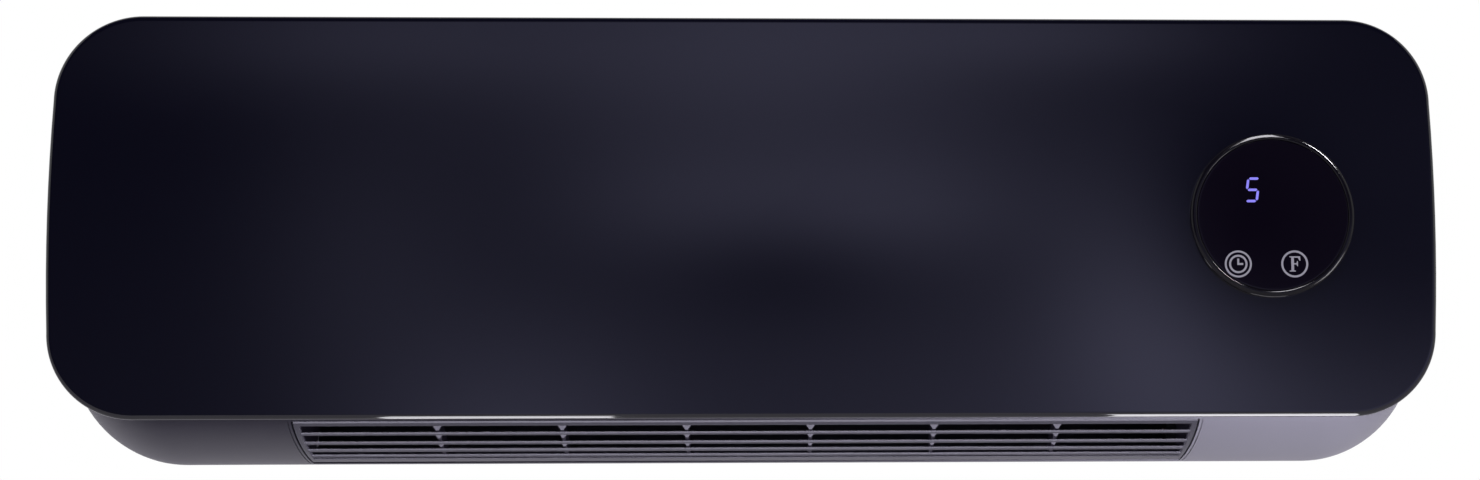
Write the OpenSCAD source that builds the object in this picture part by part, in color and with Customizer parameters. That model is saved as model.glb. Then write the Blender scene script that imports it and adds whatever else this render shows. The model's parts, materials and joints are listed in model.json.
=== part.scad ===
// Wall-hung glass panel fan heater.
// X runs to the right, Y runs back to the wall, Z runs up, all in millimetres.
// The origin is the middle of the flat back, on the wall.
// A depth is measured backwards from the front face of the glass.

/* [Body] */
// Width of the plastic body at its seam
body_w = 560; // [520:1:640]
// Height of the plastic body at its seam
body_h = 185; // [180:1:200]
// Depth from the front face of the glass to the wall
body_d = 112; // [108:1:125]
// Depth of the seam between front shell and rear housing
seam_d = 60; // [56:0.5:64]
// Wall thickness of the plastic shells
wall = 2.4; // [2:0.1:3]
// Corner radius of the body at the seam
body_r = 46.5; // [43:0.5:52]
// How far the underside drops from the glass to the seam
drop_bottom = 16.5; // [15.5:0.5:17.5]
// How far the sides widen from the glass to the seam
drop_side = 15; // [8:1:18]
// How far the top rises from the glass to the seam
drop_top = 8; // [5:0.5:10]
// How far the rear housing narrows towards the wall
rear_taper = 7; // [3:0.5:9]
// Width kept free at each end for the drive, the switch and the electronics
bay_w = 96; // [92:1:110]

/* [Glass] */
// How far the glass stays inside the widest part of the body at each side
glass_inset = 0; // [0:0.5:6]
// Height of the glass
glass_h = 163; // [158:1:168]
// Thickness of the glass
glass_t = 4; // [3:0.5:5]
// Corner radius of the glass
glass_r = 35; // [25:1:45]
// Height of the middle of the glass above the origin
glass_z = 4.4; // [3:0.1:6]
// How far the short sides bow outwards
glass_bow = 1.2; // [0:0.1:2]
// Radius of the ground edge
glass_edge = 1.4; // [0.8:0.1:1.5]
// Thickness of the bonding pads
pad_t = 1; // [0.8:0.1:1.5]

/* [Outlet] */
// How far inside the end plates the outlet opening ends
outlet_side = 1.5; // [1:0.5:6]
// How much narrower the outlet is at its rear edge, at each end
outlet_taper = 1.8; // [0:0.1:2]
// Thickness of the shell in front of the outlet opening
outlet_lip = 1.3; // [1.2:0.1:1.8]
// Distance from the rear edge of the outlet opening to the seam
outlet_back = 6.2; // [6:0.1:8]
// Gap round the louvre
louvre_gap = 0.7; // [0.6:0.1:0.9]
// Width of the side bars of the louvre
cheek_w = 3; // [2.5:0.1:4]
// Thickness of a slat
slat_t = 1.1; // [0.9:0.1:1.5]
// Length of a slat from front to back
slat_chord = 5.4; // [4:0.1:5.6]
// Distance from one slat to the next
slat_pitch = 8.3; // [8:0.1:8.5]
// Thickness of a rib
rib_t = 1.6; // [1.2:0.1:2.5]
// Distance between two ribs
rib_pitch = 50; // [45:0.5:52]
// Radius of the hinge barrel of the louvre
barrel_r = 3.2; // [3:0.1:3.4]
// Radius of the hinge pins of the louvre
pin_r = 1.5; // [1.2:0.1:1.6]
// Radial play of every pin and shaft in its bearing
play = 0.05; // [0.03:0.01:0.08]

/* [Control disc] */
// Diameter of the control disc
disc_dia = 67; // [62:0.5:72]
// Height of the disc in front of the glass
disc_rise = 3; // [2:0.1:4]
// Distance of the middle of the disc from the right end plate
disc_out = 28.5; // [27:0.5:32]
// Diameter of the hole in the glass
disc_hole = 58; // [54:0.5:60]
// Width of the bevelled rim
disc_rim = 2.6; // [2:0.1:4]

/* [Fan] */
// Outer radius of the fan wheel
fan_r = 32; // [29:0.5:32.5]
// Distance from an end of the fan wheel to the end plate
fan_side = 8; // [7:0.5:12]
// Number of fan blades
fan_blades = 28; // [20:1:32]
// Radius of the fan shafts
shaft_r = 3; // [2.5:0.1:3.5]
// Radius of the fan motor
motor_r = 26; // [22:0.5:27]
// Length of the fan motor
motor_l = 28; // [22:1:32]

/* [Heating element] */
// Distance from an end of the heating element to the end plate
heater_side = 24; // [22:0.5:30]
// Height of the heating element along the air path
heater_t = 15; // [12:0.5:18]
// Pitch of the corrugated fins
fin_pitch = 5; // [4:0.5:8]

/* [Wall fixing] */
// Distance between the two keyholes
keyhole_pitch = 400; // [394:1:420]
// Height of the round part of the keyholes above the origin
keyhole_z = 44; // [38:1:48]
// Diameter of the round part of a keyhole
keyhole_dia = 9.5; // [9:0.1:11]
// Width of the slot of a keyhole
keyhole_slot = 4.6; // [4.2:0.1:5.2]
// How far the heater drops onto the screws
keyhole_drop = 9; // [8:0.5:11]
// Bore of the cable grommet
grommet_bore = 9; // [7:0.5:11]

/* [Hidden] */

$fn = 48;
arc_n = 12;
over = 0.5;

// Levels of the body
front_d = glass_t + pad_t;
front_wall = wall;
full_d = seam_d - 2;
back_in = body_d - wall;
plate_x = body_w / 2 - bay_w;
plate_t = 1.2;
glass_w = body_w - 2 * glass_inset;
disc_x = plate_x + disc_out;

function y_at(d) = d - body_d;
// Share of the flare reached at a depth: steep behind the glass, flat at the seam
function flare(d) =
    let (t = min(1, max(0, (d - front_d) / (full_d - front_d))))
    pow(1 - pow(1 - t, 1.6), 0.7);
function side_x(d) = body_w / 2 - drop_side * (1 - flare(d));
function low_z(d) = -body_h / 2 + drop_bottom * (1 - flare(d));
function top_z(d) = body_h / 2 - drop_top * (1 - flare(d));
function corner_r(d) = body_r - 12 * (1 - flare(d));

// Rounded rectangle from its half width, lowest and highest level and corner radius
function outline(hw, z0, z1, r) = [
    for (c = [[hw - r, z1 - r, 0], [r - hw, z1 - r, 90],
              [r - hw, z0 + r, 180], [hw - r, z0 + r, 270]])
        for (i = [0:arc_n])
            let (a = c[2] + 90 * i / arc_n)
                [c[0] + r * cos(a), c[1] + r * sin(a)]
];
// Outline of the front shell at a depth, drawn in by inset
function shell_outline(d, inset) =
    outline(side_x(d) - inset, low_z(d) + inset, top_z(d) - inset, corner_r(d) - inset);
// Outline of the glass, with bowed sides, drawn in by inset
function glass_side(z) =
    let (k = z / (glass_h / 2 - glass_r)) glass_w / 2 - glass_bow * k * k;
function glass_outline(inset) =
    let (h = glass_h / 2, r = glass_r, x = glass_w / 2 - glass_bow, n = 4)
    [
        for (s = [1, -1])
            each concat(
                [for (i = [1:n - 1])
                    let (z = (h - r) * (2 * i / n - 1))
                        [s * (glass_side(z) - inset), s * z]],
                [for (i = [0:arc_n])
                    let (a = 90 * i / arc_n)
                        [s * (x - r + (r - inset) * cos(a)), s * (h - r + (r - inset) * sin(a))]],
                [for (i = [0:arc_n])
                    let (a = 90 + 90 * i / arc_n)
                        [s * (r - x + (r - inset) * cos(a)), s * (h - r + (r - inset) * sin(a))]])
    ];

// A flat outline in X and Z, between two depths
module slab(points, d0, d1) {
    translate([0, y_at(d1), 0])
        rotate([90, 0, 0])
            linear_extrude(d1 - d0)
                polygon(points);
}
// A profile in depth and Z, between two places along X
module bar(points, x0, x1) {
    translate([x0, 0, 0])
        rotate([90, 0, 90])
            linear_extrude(x1 - x0)
                polygon([for (p = points) [y_at(p[0]), p[1]]]);
}
// A cylinder along X with its middle at a depth and a height
module rod_x(r, x0, x1, d, z) {
    translate([x0, y_at(d), z])
        rotate([0, 90, 0])
            cylinder(r = r, h = x1 - x0);
}
// A cylinder along the depth
module rod_y(r, d0, d1, x, z) {
    translate([x, y_at(d1), z])
        rotate([90, 0, 0])
            cylinder(r = r, h = d1 - d0);
}
// A box from two places in X, depth and Z
module block(x, d, z) {
    translate([x[0], y_at(d[0]), z[0]])
        cube([x[1] - x[0], d[1] - d[0], z[1] - z[0]]);
}
// An outline in X and depth, between two heights
module plan(points, z0, z1) {
    translate([0, 0, z0])
        linear_extrude(z1 - z0)
            polygon([for (p = points) [p[0], y_at(p[1])]]);
}
// A strip of even thickness along a line of points in depth and Z
function strip(p, t) =
    let (
        n = len(p) - 1,
        dir = [for (i = [0:n]) p[min(n, i + 1)] - p[max(0, i - 1)]],
        nrm = [for (v = dir) [-v[1], v[0]] / norm(v)]
    )
    concat([for (i = [0:n]) p[i]], [for (i = [n:-1:0]) p[i] + t * nrm[i]]);

// Colours as in the photograph
dark_plastic = [0.2, 0.2, 0.23];
steel = [0.7, 0.71, 0.73];
brass = [0.78, 0.62, 0.3];
board_green = [0.08, 0.32, 0.2];
cream = [0.85, 0.83, 0.76];
black_nylon = [0.1, 0.1, 0.11];

// Screws that hold the two shells together
screw_out = 36;
screw_in = 84;
screw_high = 34.5;
screw_low = 42.5;
screw_top = 15.5;
shell_screws = [
    for (side = [-1, 1])
        each [[side * (body_w / 2 - screw_out), body_h / 2 - screw_high],
              [side * (body_w / 2 - screw_out), -body_h / 2 + screw_low],
              [side * (body_w / 2 - screw_in), body_h / 2 - screw_top]]
];
screw_r = 1.7;
screw_head_r = 3.5;
screw_seat_d = seam_d + 4;
screw_tip_d = seam_d - 14;

// Glass front
module glass_panel() {
    color([0.05, 0.04, 0.08])
    difference() {
        translate([0, 0, glass_z])
        hull() {
            for (a = [0, 30, 60, 90])
                let (in = glass_edge * (1 - sin(a)), cut = glass_edge * (1 - cos(a))) {
                    slab(glass_outline(in), cut, cut + 0.01);
                    slab(glass_outline(in), glass_t - cut - 0.01, glass_t - cut);
                }
        }
        rod_y(disc_hole / 2, -over, glass_t + over, disc_x, glass_z);
    }
}

pad_w = 14;
pad_x = glass_w / 2 - 55;
pad_edge = 16;
module glass_pads() {
    color([0.15, 0.15, 0.15])
    for (side = [-1, 1])
        let (z = glass_z + side * (glass_h / 2 - pad_edge - pad_w / 2))
            block([-pad_x, pad_x], [glass_t, front_d], [z - pad_w / 2, z + pad_w / 2]);
}

// Front shell
outlet_d0 = front_d + outlet_lip;
outlet_d1 = seam_d - outlet_back;
outlet_x = plate_x - outlet_side;
hinge_room = 0.6;
hinge_d = outlet_d1 - louvre_gap - hinge_room - barrel_r;
hinge_z = low_z(hinge_d) + barrel_r;
louvre_x = outlet_x - louvre_gap;
pin_l = 7;
pin_end = louvre_x + pin_l;
neck_gap = 0.3;
neck_r = disc_hole / 2 - neck_gap;
boss_r = 4;
hinge_boss = 5;

// Outline of the outlet from below, its ends drawn in by inset, front and rear moved out by more
function outlet_plan(inset, more) =
    let (w = [for (d = [outlet_d0 - more, outlet_d1 + more])
                  outlet_x - inset - outlet_taper * (d - outlet_d0) / (outlet_d1 - outlet_d0)])
    [[-w[0], outlet_d0 - more], [w[0], outlet_d0 - more],
     [w[1], outlet_d1 + more], [-w[1], outlet_d1 + more]];

module shell_skin() {
    hull() {
        for (k = [0, 0.02, 0.05, 0.1, 0.2, 0.35, 0.6, 1])
            let (d = front_d + (full_d - front_d) * k)
                slab(shell_outline(d, 0), d, d + 0.01);
        slab(shell_outline(seam_d, 0.4), seam_d - 0.7, seam_d - 0.69);
        slab(shell_outline(seam_d, 1.4), seam_d - 0.01, seam_d);
    }
}
module front_shell() {
    color(dark_plastic)
    difference() {
        union() {
            difference() {
                shell_skin();
                hull() {
                    for (k = [0.045, 0.12, 0.25, 0.5, 1])
                        let (d = front_d + (full_d - front_d) * k)
                            slab(shell_outline(d, wall), d, d + 0.01);
                    slab(shell_outline(seam_d, wall), seam_d, seam_d + over);
                }
                plan(outlet_plan(0, 0), -body_h / 2 - 1, low_z(outlet_d0) + 8);
            }
            for (s = shell_screws)
                rod_y(boss_r, front_d + 1, seam_d, s[0], s[1]);
            intersection() {
                shell_skin();
                for (side = [-1, 1])
                    block([min(side * outlet_x, side * pin_end),
                           max(side * outlet_x, side * pin_end)],
                          [hinge_d - hinge_boss, hinge_d + hinge_boss],
                          [-body_h / 2, hinge_z + hinge_boss]);
            }
        }
        for (s = shell_screws)
            rod_y(screw_r + 0.02, screw_tip_d - 1, seam_d + 1, s[0], s[1]);
        rod_x(pin_r + play, -pin_end - 1, pin_end + 1, hinge_d, hinge_z);
        rod_y(neck_r + neck_gap, front_d - 1, front_d + front_wall + 3, disc_x, glass_z);
    }
}

// Rear housing
rear_step = 2;
function rear_in(d) = rear_step + rear_taper * (d - seam_d) / (body_d - seam_d);
function rear_outline(d, inset) =
    let (in = rear_in(d) + inset)
    outline(body_w / 2 - in, -body_h / 2 + in, body_h / 2 - in, body_r - in);
function rear_top(d) = body_h / 2 - rear_in(d);
intake_x = plate_x - 2;
intake_d0 = seam_d + 6;
intake_d1 = body_d - 8;
intake_gap = 0.3;
lip_gap = 0.25;
lip_t = 1.65;
lip_l = 3.5;
lip_root = 1;
switch_d = (seam_d + body_d) / 2 - 2;
switch_z = -26;
switch_sink = 2.8;
switch_floor = body_w / 2 - rear_in(switch_d) - switch_sink;
switch_hole = [13.2, 19.4];
switch_frame = [20, 26];
grommet_x = body_w / 2 - 56;
grommet_z = -52;
grommet_r = 8;
grommet_l = 10;
flange_d = body_d - 8;
tube_r = 6;
pocket_l = 9;
pocket_wall = 1.5;
head_room = 1.75;

module rear_skin() {
    hull() {
        slab(rear_outline(seam_d, 0), seam_d, seam_d + 0.01);
        slab(rear_outline(body_d - 3, 0), body_d - 3, body_d - 2.99);
        slab(rear_outline(body_d - 1, 0.8), body_d - 1, body_d - 0.99);
        slab(rear_outline(body_d, 2.4), body_d - 0.01, body_d);
    }
}
// One keyhole, seen from the wall: a round entry with a slot above it
module keyhole(x, d0, d1, grow) {
    rod_y(keyhole_dia / 2 + grow, d0, d1, x, keyhole_z);
    rod_y(keyhole_slot / 2 + grow, d0, d1, x, keyhole_z + keyhole_drop);
    block([x - keyhole_slot / 2 - grow, x + keyhole_slot / 2 + grow], [d0, d1],
          [keyhole_z, keyhole_z + keyhole_drop]);
}
// The room behind a keyhole for the head of the screw
module head_pocket(x, d0, d1, grow) {
    half = keyhole_dia / 2 + head_room + grow;
    block([x - half, x + half], [d0, d1],
          [keyhole_z - half, keyhole_z + keyhole_drop + keyhole_slot / 2 + head_room + grow]);
}
module rear_housing() {
    color(dark_plastic)
    difference() {
        union() {
            difference() {
                rear_skin();
                hull() {
                    slab(rear_outline(seam_d, wall), seam_d - over, seam_d);
                    slab(rear_outline(back_in, wall), back_in - 0.01, back_in);
                }
            }
            difference() {
                slab(shell_outline(seam_d, wall + lip_gap), seam_d - lip_l,
                     seam_d + lip_root);
                slab(shell_outline(seam_d, wall + lip_gap + lip_t), seam_d - lip_l - 1,
                     seam_d + lip_root + over);
            }
            intersection() {
                rear_skin();
                union() {
                    for (s = shell_screws)
                        rod_y(tube_r, seam_d, body_d, s[0], s[1]);
                    for (side = [-1, 1])
                        head_pocket(side * keyhole_pitch / 2, body_d - pocket_l - pocket_wall,
                                    body_d, pocket_wall);
                    block([switch_floor - wall - 1, body_w / 2],
                          [switch_d - switch_frame[0] / 2 - wall,
                           switch_d + switch_frame[0] / 2 + wall],
                          [switch_z - switch_frame[1] / 2 - wall,
                           switch_z + switch_frame[1] / 2 + wall]);
                    rod_y(grommet_r + 3, flange_d, body_d, grommet_x, grommet_z);
                }
            }
        }
        block([switch_floor, body_w / 2 + 5],
              [switch_d - switch_frame[0] / 2, switch_d + switch_frame[0] / 2],
              [switch_z - switch_frame[1] / 2, switch_z + switch_frame[1] / 2]);
        block([switch_floor - 8, switch_floor + 1],
              [switch_d - switch_hole[0] / 2, switch_d + switch_hole[0] / 2],
              [switch_z - switch_hole[1] / 2, switch_z + switch_hole[1] / 2]);
        block([-intake_x, intake_x], [intake_d0, intake_d1],
              [body_h / 2 - 16, body_h / 2 + 5]);
        for (s = shell_screws) {
            rod_y(screw_r + 0.3, seam_d - 1, body_d, s[0], s[1]);
            rod_y(screw_head_r + 0.6, screw_seat_d, body_d + 1, s[0], s[1]);
        }
        for (side = [-1, 1]) {
            keyhole(side * keyhole_pitch / 2, body_d - pocket_l, body_d + 1, 0);
            head_pocket(side * keyhole_pitch / 2, body_d - pocket_l, back_in, 0);
        }
        rod_y(grommet_r + 0.1, flange_d - 1, body_d + 1, grommet_x, grommet_z);
    }
}

// Control disc
lens_r = disc_dia / 2 - disc_rim;
lens_t = 2;
lens_sink = 0.3;
neck_in = neck_r - 2;
neck_end = front_d + front_wall + 7;

module disc_bezel() {
    color([0.06, 0.05, 0.08])
    translate([disc_x, y_at(0), glass_z])
        rotate([-90, 0, 0])
            rotate_extrude($fn = 96)
                polygon([
                    [neck_in, neck_end], [neck_r, neck_end], [neck_r, 0],
                    [disc_dia / 2, 0], [disc_dia / 2, -disc_rise + 1.7],
                    [disc_dia / 2 - 0.5, -disc_rise + 0.7],
                    [disc_dia / 2 - 1.2, -disc_rise + 0.15],
                    [disc_dia / 2 - 1.8, -disc_rise],
                    [lens_r + 0.1, -disc_rise + 0.2],
                    [lens_r + 0.1, -disc_rise + lens_sink + lens_t],
                    [neck_in, -disc_rise + lens_sink + lens_t]
                ]);
}
module disc_lens() {
    color([0.03, 0.02, 0.04])
        rod_y(lens_r, -disc_rise + lens_sink, -disc_rise + lens_sink + lens_t, disc_x, glass_z);
}
module disc_nut() {
    color(dark_plastic)
    difference() {
        rod_y(neck_r + 5, front_d + front_wall, front_d + front_wall + 5, disc_x, glass_z);
        rod_y(neck_r + 0.05, front_d, front_d + front_wall + 8, disc_x, glass_z);
        for (a = [0:30:330])
            rod_y(1.5, front_d, front_d + front_wall + 8,
                  disc_x + (neck_r + 5) * cos(a), glass_z + (neck_r + 5) * sin(a));
    }
}

// Electronics of the control disc
disc_board_d = 8;
disc_board_t = 1.6;
digit_x = disc_x - 9;
digit_z = glass_z + 10;
key_x = [disc_x - 13.5, disc_x + 8];
key_z = glass_z - 15;
lens_back = -disc_rise + lens_sink + lens_t;

module display_board() {
    color(board_green)
    difference() {
        rod_y(neck_in - 0.1, disc_board_d, disc_board_d + disc_board_t, disc_x, glass_z);
        for (s = [-1, 1])
            rod_y(1.6, disc_board_d - 1, disc_board_d + 3, disc_x + s * 20, glass_z + 9);
    }
}
module digit_display() {
    color([0.1, 0.1, 0.12])
        block([digit_x - 6.3, digit_x + 18.9], [lens_back, disc_board_d],
              [digit_z - 9.5, digit_z + 9.5]);
}
module touch_springs() {
    color(brass)
    for (x = key_x)
        difference() {
            rod_y(4, lens_back, disc_board_d, x, key_z);
            rod_y(3.2, lens_back - 1, disc_board_d + 1, x, key_z);
        }
}
module infrared_receiver() {
    color([0.1, 0.05, 0.1])
    union() {
        block([disc_x + 15, disc_x + 21], [lens_back + 1.5, disc_board_d],
              [glass_z - 8, glass_z - 1]);
        rod_y(2.4, lens_back, lens_back + 2, disc_x + 18, glass_z - 4);
    }
}

// Swinging outlet
function rest_z(d) = low_z(d);
louvre_d0 = outlet_d0 + louvre_gap;
front_bar_t = 1.7;
front_bar_h = 6;
rear_bar_l = 6.1;
rear_bar_t = 0.3;
slat_first = louvre_d0 + 7.5;
slat_count = 4;
rib_count = 6;
function slat_d(i) = slat_first + i * slat_pitch;

module outlet_louvre() {
    color(dark_plastic)
    union() {
        intersection() {
            louvre_body();
            plan(outlet_plan(louvre_gap, 1), -body_h / 2 - 1, 0);
        }
        for (side = [-1, 1])
            rod_x(pin_r, min(side * (louvre_x - cheek_w + 0.2), side * pin_end),
                  max(side * (louvre_x - cheek_w + 0.2), side * pin_end), hinge_d, hinge_z);
    }
}
module louvre_body() {
    bar_top = rest_z(louvre_d0) + front_bar_h;
    bar_z = rest_z(hinge_d - rear_bar_l) + rear_bar_t;
    union() {
        bar([[louvre_d0, rest_z(louvre_d0)],
             [louvre_d0 + front_bar_t, rest_z(louvre_d0 + front_bar_t)],
             [louvre_d0 + 2 * front_bar_t, bar_top], [louvre_d0 + 2, bar_top]],
            -louvre_x, louvre_x);
        rod_x(barrel_r, -louvre_x, louvre_x, hinge_d, hinge_z);
        bar(concat([for (i = [0:4])
                        let (d = hinge_d - rear_bar_l * (1 - i / 4)) [d, rest_z(d)]],
                   [[hinge_d, bar_z], [hinge_d - rear_bar_l, bar_z]]),
            -louvre_x, louvre_x);
        for (side = [-1, 1])
            bar(concat([for (i = [0:8])
                            let (d = louvre_d0 + (hinge_d - louvre_d0) * i / 8) [d, rest_z(d)]],
                       [[hinge_d + 3, hinge_z], [hinge_d + 4, hinge_z + 11],
                        [hinge_d - 5, hinge_z + 12.5],
                        [louvre_d0 + 6, bar_top + 1], [louvre_d0 + 2, bar_top]]),
                min(side * louvre_x, side * (louvre_x - cheek_w)),
                max(side * louvre_x, side * (louvre_x - cheek_w)));
        for (i = [0:slat_count - 1])
            let (d = slat_d(i), z = rest_z(d) + slat_t / 2) {
                rod_x(slat_t / 2, -louvre_x, louvre_x, d, z);
                block([-louvre_x, louvre_x], [d, d + slat_chord],
                      [z - slat_t / 2, z + slat_t / 2]);
            }
        for (i = [0:rib_count - 1])
            let (x = (i - (rib_count - 1) / 2) * rib_pitch, foot = louvre_d0 + front_bar_t) {
                bar(rib_profile(bar_top), x - rib_t / 2, x + rib_t / 2);
                bar([[foot - 0.4, rest_z(foot) + 0.1], [foot + 1.4, rest_z(foot + 1.4) + 0.1],
                     [foot + 2, bar_top - 1], [foot, bar_top - 1]], x - rib_t, x + rib_t);
            }
    }
}
// Side view of a rib: it dips to the outer face behind the front bar and under each slat
function rib_profile(bar_top) =
    let (foot = louvre_d0 + front_bar_t)
    concat([[foot - 0.4, rest_z(foot) + 0.1], [foot + 2.4, rest_z(foot + 2.4) + 0.15],
            [foot + 3.4, rest_z(foot + 2.4) + 1.6]],
           [for (i = [0:slat_count - 1])
               let (d = slat_d(i), z = rest_z(d))
                   each [[d + 0.8, z + slat_t / 2],
                         [d + 3.4, max(rest_z(d + 3.4) + 0.1, z - 0.9)],
                         [d + 4.6, z + slat_t / 2]]],
           [[hinge_d, hinge_z], [hinge_d - 6, hinge_z + 5], [louvre_d0 + 2.6, bar_top - 0.4]]);

// Gear drive of the louvre: a toothed sector on its right side bar and a small pinion
gear_m = 1;
sector_teeth = 32;
pinion_teeth = 16;
gear_dir = 80;
gear_w = 4;
gear_slack = 0.12;
sector_pr = gear_m * sector_teeth / 2;
pinion_pr = gear_m * pinion_teeth / 2;
pinion_d = hinge_d + (sector_pr + pinion_pr) * cos(gear_dir);
pinion_z = hinge_z + (sector_pr + pinion_pr) * sin(gear_dir);
sector_x1 = louvre_x - cheek_w;
sector_x0 = sector_x1 - gear_w;

function involute(rb, r) =
    let (t = sqrt(max(0, r * r / (rb * rb) - 1))) t * 180 / PI - atan(t);
// Half the angle that a tooth takes at a radius
function tooth_half(z, r) =
    let (pr = gear_m * z / 2, rb = pr * cos(20))
    (90 - gear_slack / pr * 180 / PI * z / 4) / z + involute(rb, pr) - involute(rb, max(r, rb));
// Teeth with the numbers from first to last, the first tooth's middle at angle turn
function teeth(z, first, last, turn) =
    let (pr = gear_m * z / 2, ro = pr + 0.95 * gear_m, ri = pr - 1.2 * gear_m)
    [
        for (i = [first:last])
            let (mid = turn + i * 360 / z, radii = [for (k = [0:4]) ri + (ro - ri) * k / 4])
                each concat(
                    [for (r = radii) let (a = mid - tooth_half(z, r)) r * [cos(a), sin(a)]],
                    [for (k = [4:-1:0])
                        let (r = radii[k], a = mid + tooth_half(z, r)) r * [cos(a), sin(a)]])
    ];
sector_first = -4;
sector_last = 1;
function shifted(p, d, z) = [for (q = p) [q[0] + d, q[1] + z]];

module louvre_sector() {
    color(black_nylon)
    difference() {
        bar(shifted(concat([[-barrel_r, barrel_r], [barrel_r, barrel_r]],
                           teeth(sector_teeth, sector_first, sector_last, gear_dir)),
                    hinge_d, hinge_z),
            sector_x0, sector_x1);
        rod_x(barrel_r + 0.1, sector_x0 - 1, sector_x1 + 1, hinge_d, hinge_z);
        rod_x(2.2, sector_x0 - 1, sector_x1 + 1, hinge_d + 5.2, hinge_z + 8.6);
    }
}
module swing_pinion() {
    color(black_nylon)
    difference() {
        bar(shifted(teeth(pinion_teeth, 0, pinion_teeth - 1, gear_dir + 180 + 180 / pinion_teeth),
                    pinion_d, pinion_z),
            sector_x0 - 0.5, sector_x1 + 0.5);
        rod_x(2.02, sector_x0 - 1, sector_x1 + 1, pinion_d, pinion_z);
    }
}
swing_motor_l = 15;
can_r = 12;
can_d = pinion_d + 2.5;
can_z = pinion_z + 4.3;
can_ear = 15.5;
snout_r = 4.4;
module swing_shaft() {
    color(steel)
        rod_x(2, sector_x0 - 1.5, plate_x + plate_t + swing_motor_l - 2, pinion_d, pinion_z);
}
module swing_motor() {
    color(steel)
    difference() {
        union() {
            rod_x(can_r, plate_x + plate_t, plate_x + plate_t + swing_motor_l, can_d, can_z);
            rod_x(snout_r, plate_x, plate_x + plate_t + 1, pinion_d, pinion_z);
            block([plate_x + plate_t, plate_x + plate_t + 1], [can_d - 3.5, can_d + 3.5],
                  [can_z - can_ear - 3.5, can_z]);
        }
        rod_x(2 + play, plate_x - 1, plate_x + plate_t + swing_motor_l - 1.5, pinion_d, pinion_z);
        rod_x(1.6, plate_x, plate_x + plate_t + 3, can_d, can_z - can_ear);
    }
}

// Fan
fan_l = 2 * (plate_x - fan_side);
fan_gap = 2.5;
scroll_grow = 8;
scroll_from = 52;
scroll_to = -58;
scroll_gap = 6.5;
sheet_t = 0.8;
function scroll_r(a) =
    fan_r + fan_gap + scroll_grow * (scroll_from - a) / (scroll_from - scroll_to);
fan_d = back_in - scroll_gap - sheet_t - scroll_r(0);
fan_z = 10;
disc_t = 2;
fan_bays = 5;
blade_t = 0.9;
blade_in = fan_r - 7;
hub_r = 9;

function blade(a) =
    let (n = 4,
         line = [for (k = [0:n])
             let (r = blade_in + (fan_r - 0.3 - blade_in) * k / n, b = a + 16 * pow(k / n, 1.5))
                 r * [cos(b), sin(b)]])
    shifted(strip(line, blade_t), fan_d, fan_z);

module fan_rotor() {
    color([0.16, 0.16, 0.18])
    difference() {
        union() {
            for (i = [0:fan_blades - 1])
                bar(blade(i * 360 / fan_blades), -fan_l / 2 + 1, fan_l / 2 - 1);
            for (k = [1:fan_bays - 1])
                let (x = -fan_l / 2 + k * fan_l / fan_bays)
                    difference() {
                        rod_x(fan_r, x - disc_t / 2, x + disc_t / 2, fan_d, fan_z);
                        rod_x(blade_in - 1, x - disc_t, x + disc_t, fan_d, fan_z);
                    }
            for (side = [-1, 1])
                let (a = side * fan_l / 2, b = side * (fan_l / 2 - disc_t)) {
                    rod_x(fan_r, min(a, b), max(a, b), fan_d, fan_z);
                    rod_x(hub_r, min(a, a - side * 14), max(a, a - side * 14), fan_d, fan_z);
                }
        }
        rod_x(shaft_r + 0.02, -fan_l / 2 - 1, fan_l / 2 + 1, fan_d, fan_z);
    }
}
bush_l = 8;
stub_end = plate_x + 7;
module stub_shaft() {
    color(steel)
        rod_x(shaft_r, -stub_end, -fan_l / 2 + 14, fan_d, fan_z);
}
damper_h = 4;
motor_x0 = plate_x + plate_t + damper_h;
module motor_shaft() {
    color(steel)
        rod_x(shaft_r, fan_l / 2 - 14, motor_x0 + motor_l + 1, fan_d, fan_z);
}
ear_r = motor_r + 5;
ear_angles = [30, 150, 270];
module fan_motor() {
    color([0.35, 0.36, 0.38])
    difference() {
        union() {
            rod_x(motor_r, motor_x0, motor_x0 + motor_l, fan_d, fan_z);
            rod_x(9, motor_x0 - 2, motor_x0 + motor_l + 3, fan_d, fan_z);
            for (a = ear_angles)
                rod_x(5.5, motor_x0, motor_x0 + 2,
                      fan_d + ear_r * cos(a), fan_z + ear_r * sin(a));
        }
        rod_x(shaft_r + play, motor_x0 - 3, motor_x0 + motor_l + 1.5, fan_d, fan_z);
        for (a = ear_angles)
            rod_x(1.8, motor_x0 - 1, motor_x0 + 3, fan_d + ear_r * cos(a), fan_z + ear_r * sin(a));
    }
}
module motor_dampers() {
    color([0.08, 0.08, 0.08])
    for (a = ear_angles)
        difference() {
            rod_x(5, plate_x + plate_t, motor_x0,
                  fan_d + ear_r * cos(a), fan_z + ear_r * sin(a));
            rod_x(1.8, plate_x, motor_x0 + 1,
                  fan_d + ear_r * cos(a), fan_z + ear_r * sin(a));
        }
}
bearing_r = 12;
module bearing_bush() {
    color(brass)
    difference() {
        rod_x(6, -plate_x - plate_t - 3, -plate_x - plate_t - 3 + bush_l, fan_d, fan_z);
        rod_x(shaft_r + play, -plate_x - 12, -plate_x + 6, fan_d, fan_z);
    }
}
module bearing_rubber() {
    color([0.08, 0.08, 0.08])
    difference() {
        union() {
            rod_x(bearing_r, -plate_x - plate_t - 2, -plate_x + 2, fan_d, fan_z);
            rod_x(bearing_r + 2.5, -plate_x, -plate_x + 2, fan_d, fan_z);
            rod_x(bearing_r + 2.5, -plate_x - plate_t - 2, -plate_x - plate_t, fan_d, fan_z);
        }
        rod_x(6, -plate_x - 10, -plate_x + 10, fan_d, fan_z);
    }
}

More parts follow.
